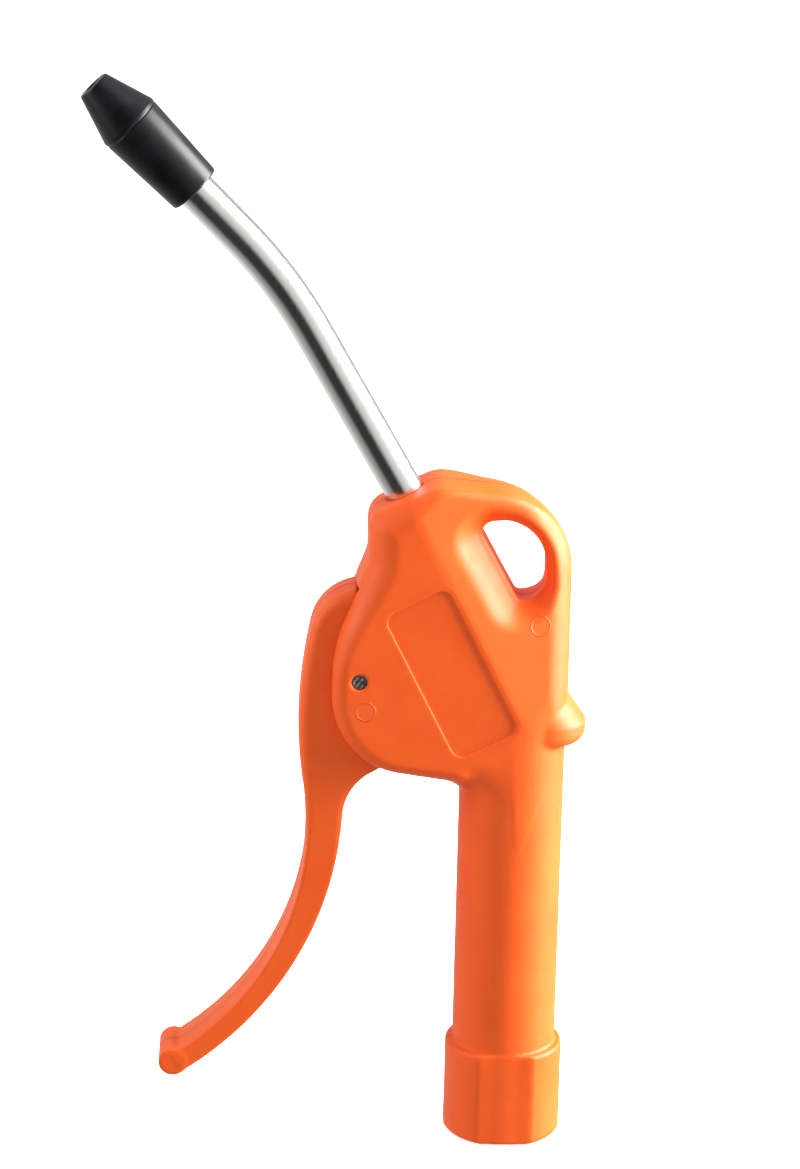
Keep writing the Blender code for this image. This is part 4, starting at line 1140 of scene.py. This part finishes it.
# %% Floor
floor_mesh = bpy.data.meshes.new("floor")
FLOOR_HALF, FLOOR_Z = 3.0, -0.0004
floor_corners = [(FLOOR_HALF * x, FLOOR_HALF * y, FLOOR_Z) for x, y in ((-1, -1), (1, -1), (1, 1), (-1, 1))]
floor_mesh.from_pydata(floor_corners, [], [(0, 1, 2, 3)])
floor = bpy.data.objects.new("floor", floor_mesh)
bpy.context.scene.collection.objects.link(floor)
paper, _, _, paper_shader, _ = finish("white_paper", grey(0.93), 0.9)
paper_shader.inputs["Emission Color"].default_value = (1.0, 1.0, 1.0, 1.0)
paper_shader.inputs["Emission Strength"].default_value = 0.7
floor_mesh.materials.append(paper)
floor.visible_glossy = False
floor.visible_diffuse = False

# %% Lights
LIT_POINT = Vector((-0.02, 0.0, 0.11))


def soft_light(name, azimuth, elevation, distance, size, power, colour):
    """A rectangular light that looks at the gun's head; azimuth 0 is the camera's side (-Y)."""
    data = bpy.data.lights.new(name, "AREA")
    data.shape = "RECTANGLE"
    data.size, data.size_y = size
    data.energy = power
    data.color = colour
    lamp = bpy.data.objects.new(name, data)
    turn, rise = math.radians(azimuth), math.radians(elevation)
    away = Vector((math.sin(turn) * math.cos(rise), -math.cos(turn) * math.cos(rise), math.sin(rise)))
    lamp.location = LIT_POINT + away * distance
    lamp.rotation_euler = away.to_track_quat("Z", "Y").to_euler()
    bpy.context.scene.collection.objects.link(lamp)


soft_light("key", 91.0, 16.0, 0.75, (0.55, 0.9), 42.0, (1.0, 0.99, 0.97))
soft_light("rim", -80.0, 18.0, 0.9, (0.5, 0.8), 4.5, (1.0, 0.98, 0.99))

world = bpy.data.worlds.new("studio")
bpy.context.scene.world = world
world.use_nodes = True
wn, wl = world.node_tree.nodes, world.node_tree.links
backdrop = wn["Background"]
direction = wn.new("ShaderNodeTexCoord").outputs["Generated"]
split = wn.new("ShaderNodeSeparateXYZ")
wl.new(direction, split.inputs["Vector"])
turn = wn.new("ShaderNodeMath")
turn.operation = "ARCTAN2"
wl.new(split.outputs["X"], turn.inputs[0])
flip = wn.new("ShaderNodeMath")
flip.operation = "MULTIPLY"
flip.inputs[1].default_value = -1.0
wl.new(split.outputs["Y"], flip.inputs[0])
wl.new(flip.outputs["Value"], turn.inputs[1])
share = wn.new("ShaderNodeMapRange")
share.inputs["From Min"].default_value = -math.pi
share.inputs["From Max"].default_value = math.pi
wl.new(turn.outputs["Value"], share.inputs["Value"])


def turn_share(degrees):
    """An azimuth's place on the ramp, from -180 to 180 degrees."""
    return (degrees + 180.0) / 360.0


room = wn.new("ShaderNodeValToRGB")
ROOM = (
    (-180.0, 0.90),
    (-130.0, 0.80),
    (-100.0, 0.48),
    (-58.0, 0.26),
    (-38.0, 0.04),
    (4.0, 0.03),
    (20.0, 0.60),
    (60.0, 0.95),
    (140.0, 0.50),
)
elements = room.color_ramp.elements
while len(elements) < len(ROOM):
    elements.new(0.5)
for element, (degrees, level) in zip(elements, ROOM):
    element.position = turn_share(degrees)
    element.color = (level, level, level, 1.0)
wl.new(share.outputs["Result"], room.inputs["Fac"])
seen = wn.new("ShaderNodeLightPath")
FILL = 0.58
filled = wn.new("ShaderNodeMix")
filled.data_type = "RGBA"
wl.new(seen.outputs["Is Diffuse Ray"], filled.inputs["Factor"])
wl.new(room.outputs["Color"], filled.inputs["A"])
filled.inputs["B"].default_value = (FILL, FILL, FILL, 1.0)
pick = wn.new("ShaderNodeMix")
pick.data_type = "RGBA"
wl.new(seen.outputs["Is Camera Ray"], pick.inputs["Factor"])
wl.new(filled.outputs["Result"], pick.inputs["A"])
pick.inputs["B"].default_value = (1.0, 1.0, 1.0, 1.0)
wl.new(pick.outputs["Result"], backdrop.inputs["Color"])
backdrop.inputs["Strength"].default_value = 1.0
bpy.context.scene.view_settings.view_transform = "Standard"

# %% Camera
camera_data = bpy.data.cameras.new("camera")
camera = bpy.data.objects.new("camera", camera_data)
bpy.context.scene.collection.objects.link(camera)
CAMERA_TURN, CAMERA_RISE, CAMERA_ROLL = math.radians(-2.0), math.radians(17.63), math.radians(1.31)
AIM = Vector((-24.44, 0.0, 122.31)) * MM
DISTANCE = 0.8313
camera_way = Vector(
    (
        math.sin(CAMERA_TURN) * math.cos(CAMERA_RISE),
        -math.cos(CAMERA_TURN) * math.cos(CAMERA_RISE),
        math.sin(CAMERA_RISE),
    )
)
turned_to_aim = camera_way.to_track_quat("Z", "Y").to_matrix().to_4x4()
roll = Matrix.Rotation(CAMERA_ROLL, 4, "Z")
camera.matrix_world = Matrix.Translation(AIM + camera_way * DISTANCE) @ turned_to_aim @ roll
camera_data.sensor_width = 36.0
camera_data.lens = 123.2
camera_data.clip_start = 0.01
bpy.context.scene.camera = camera
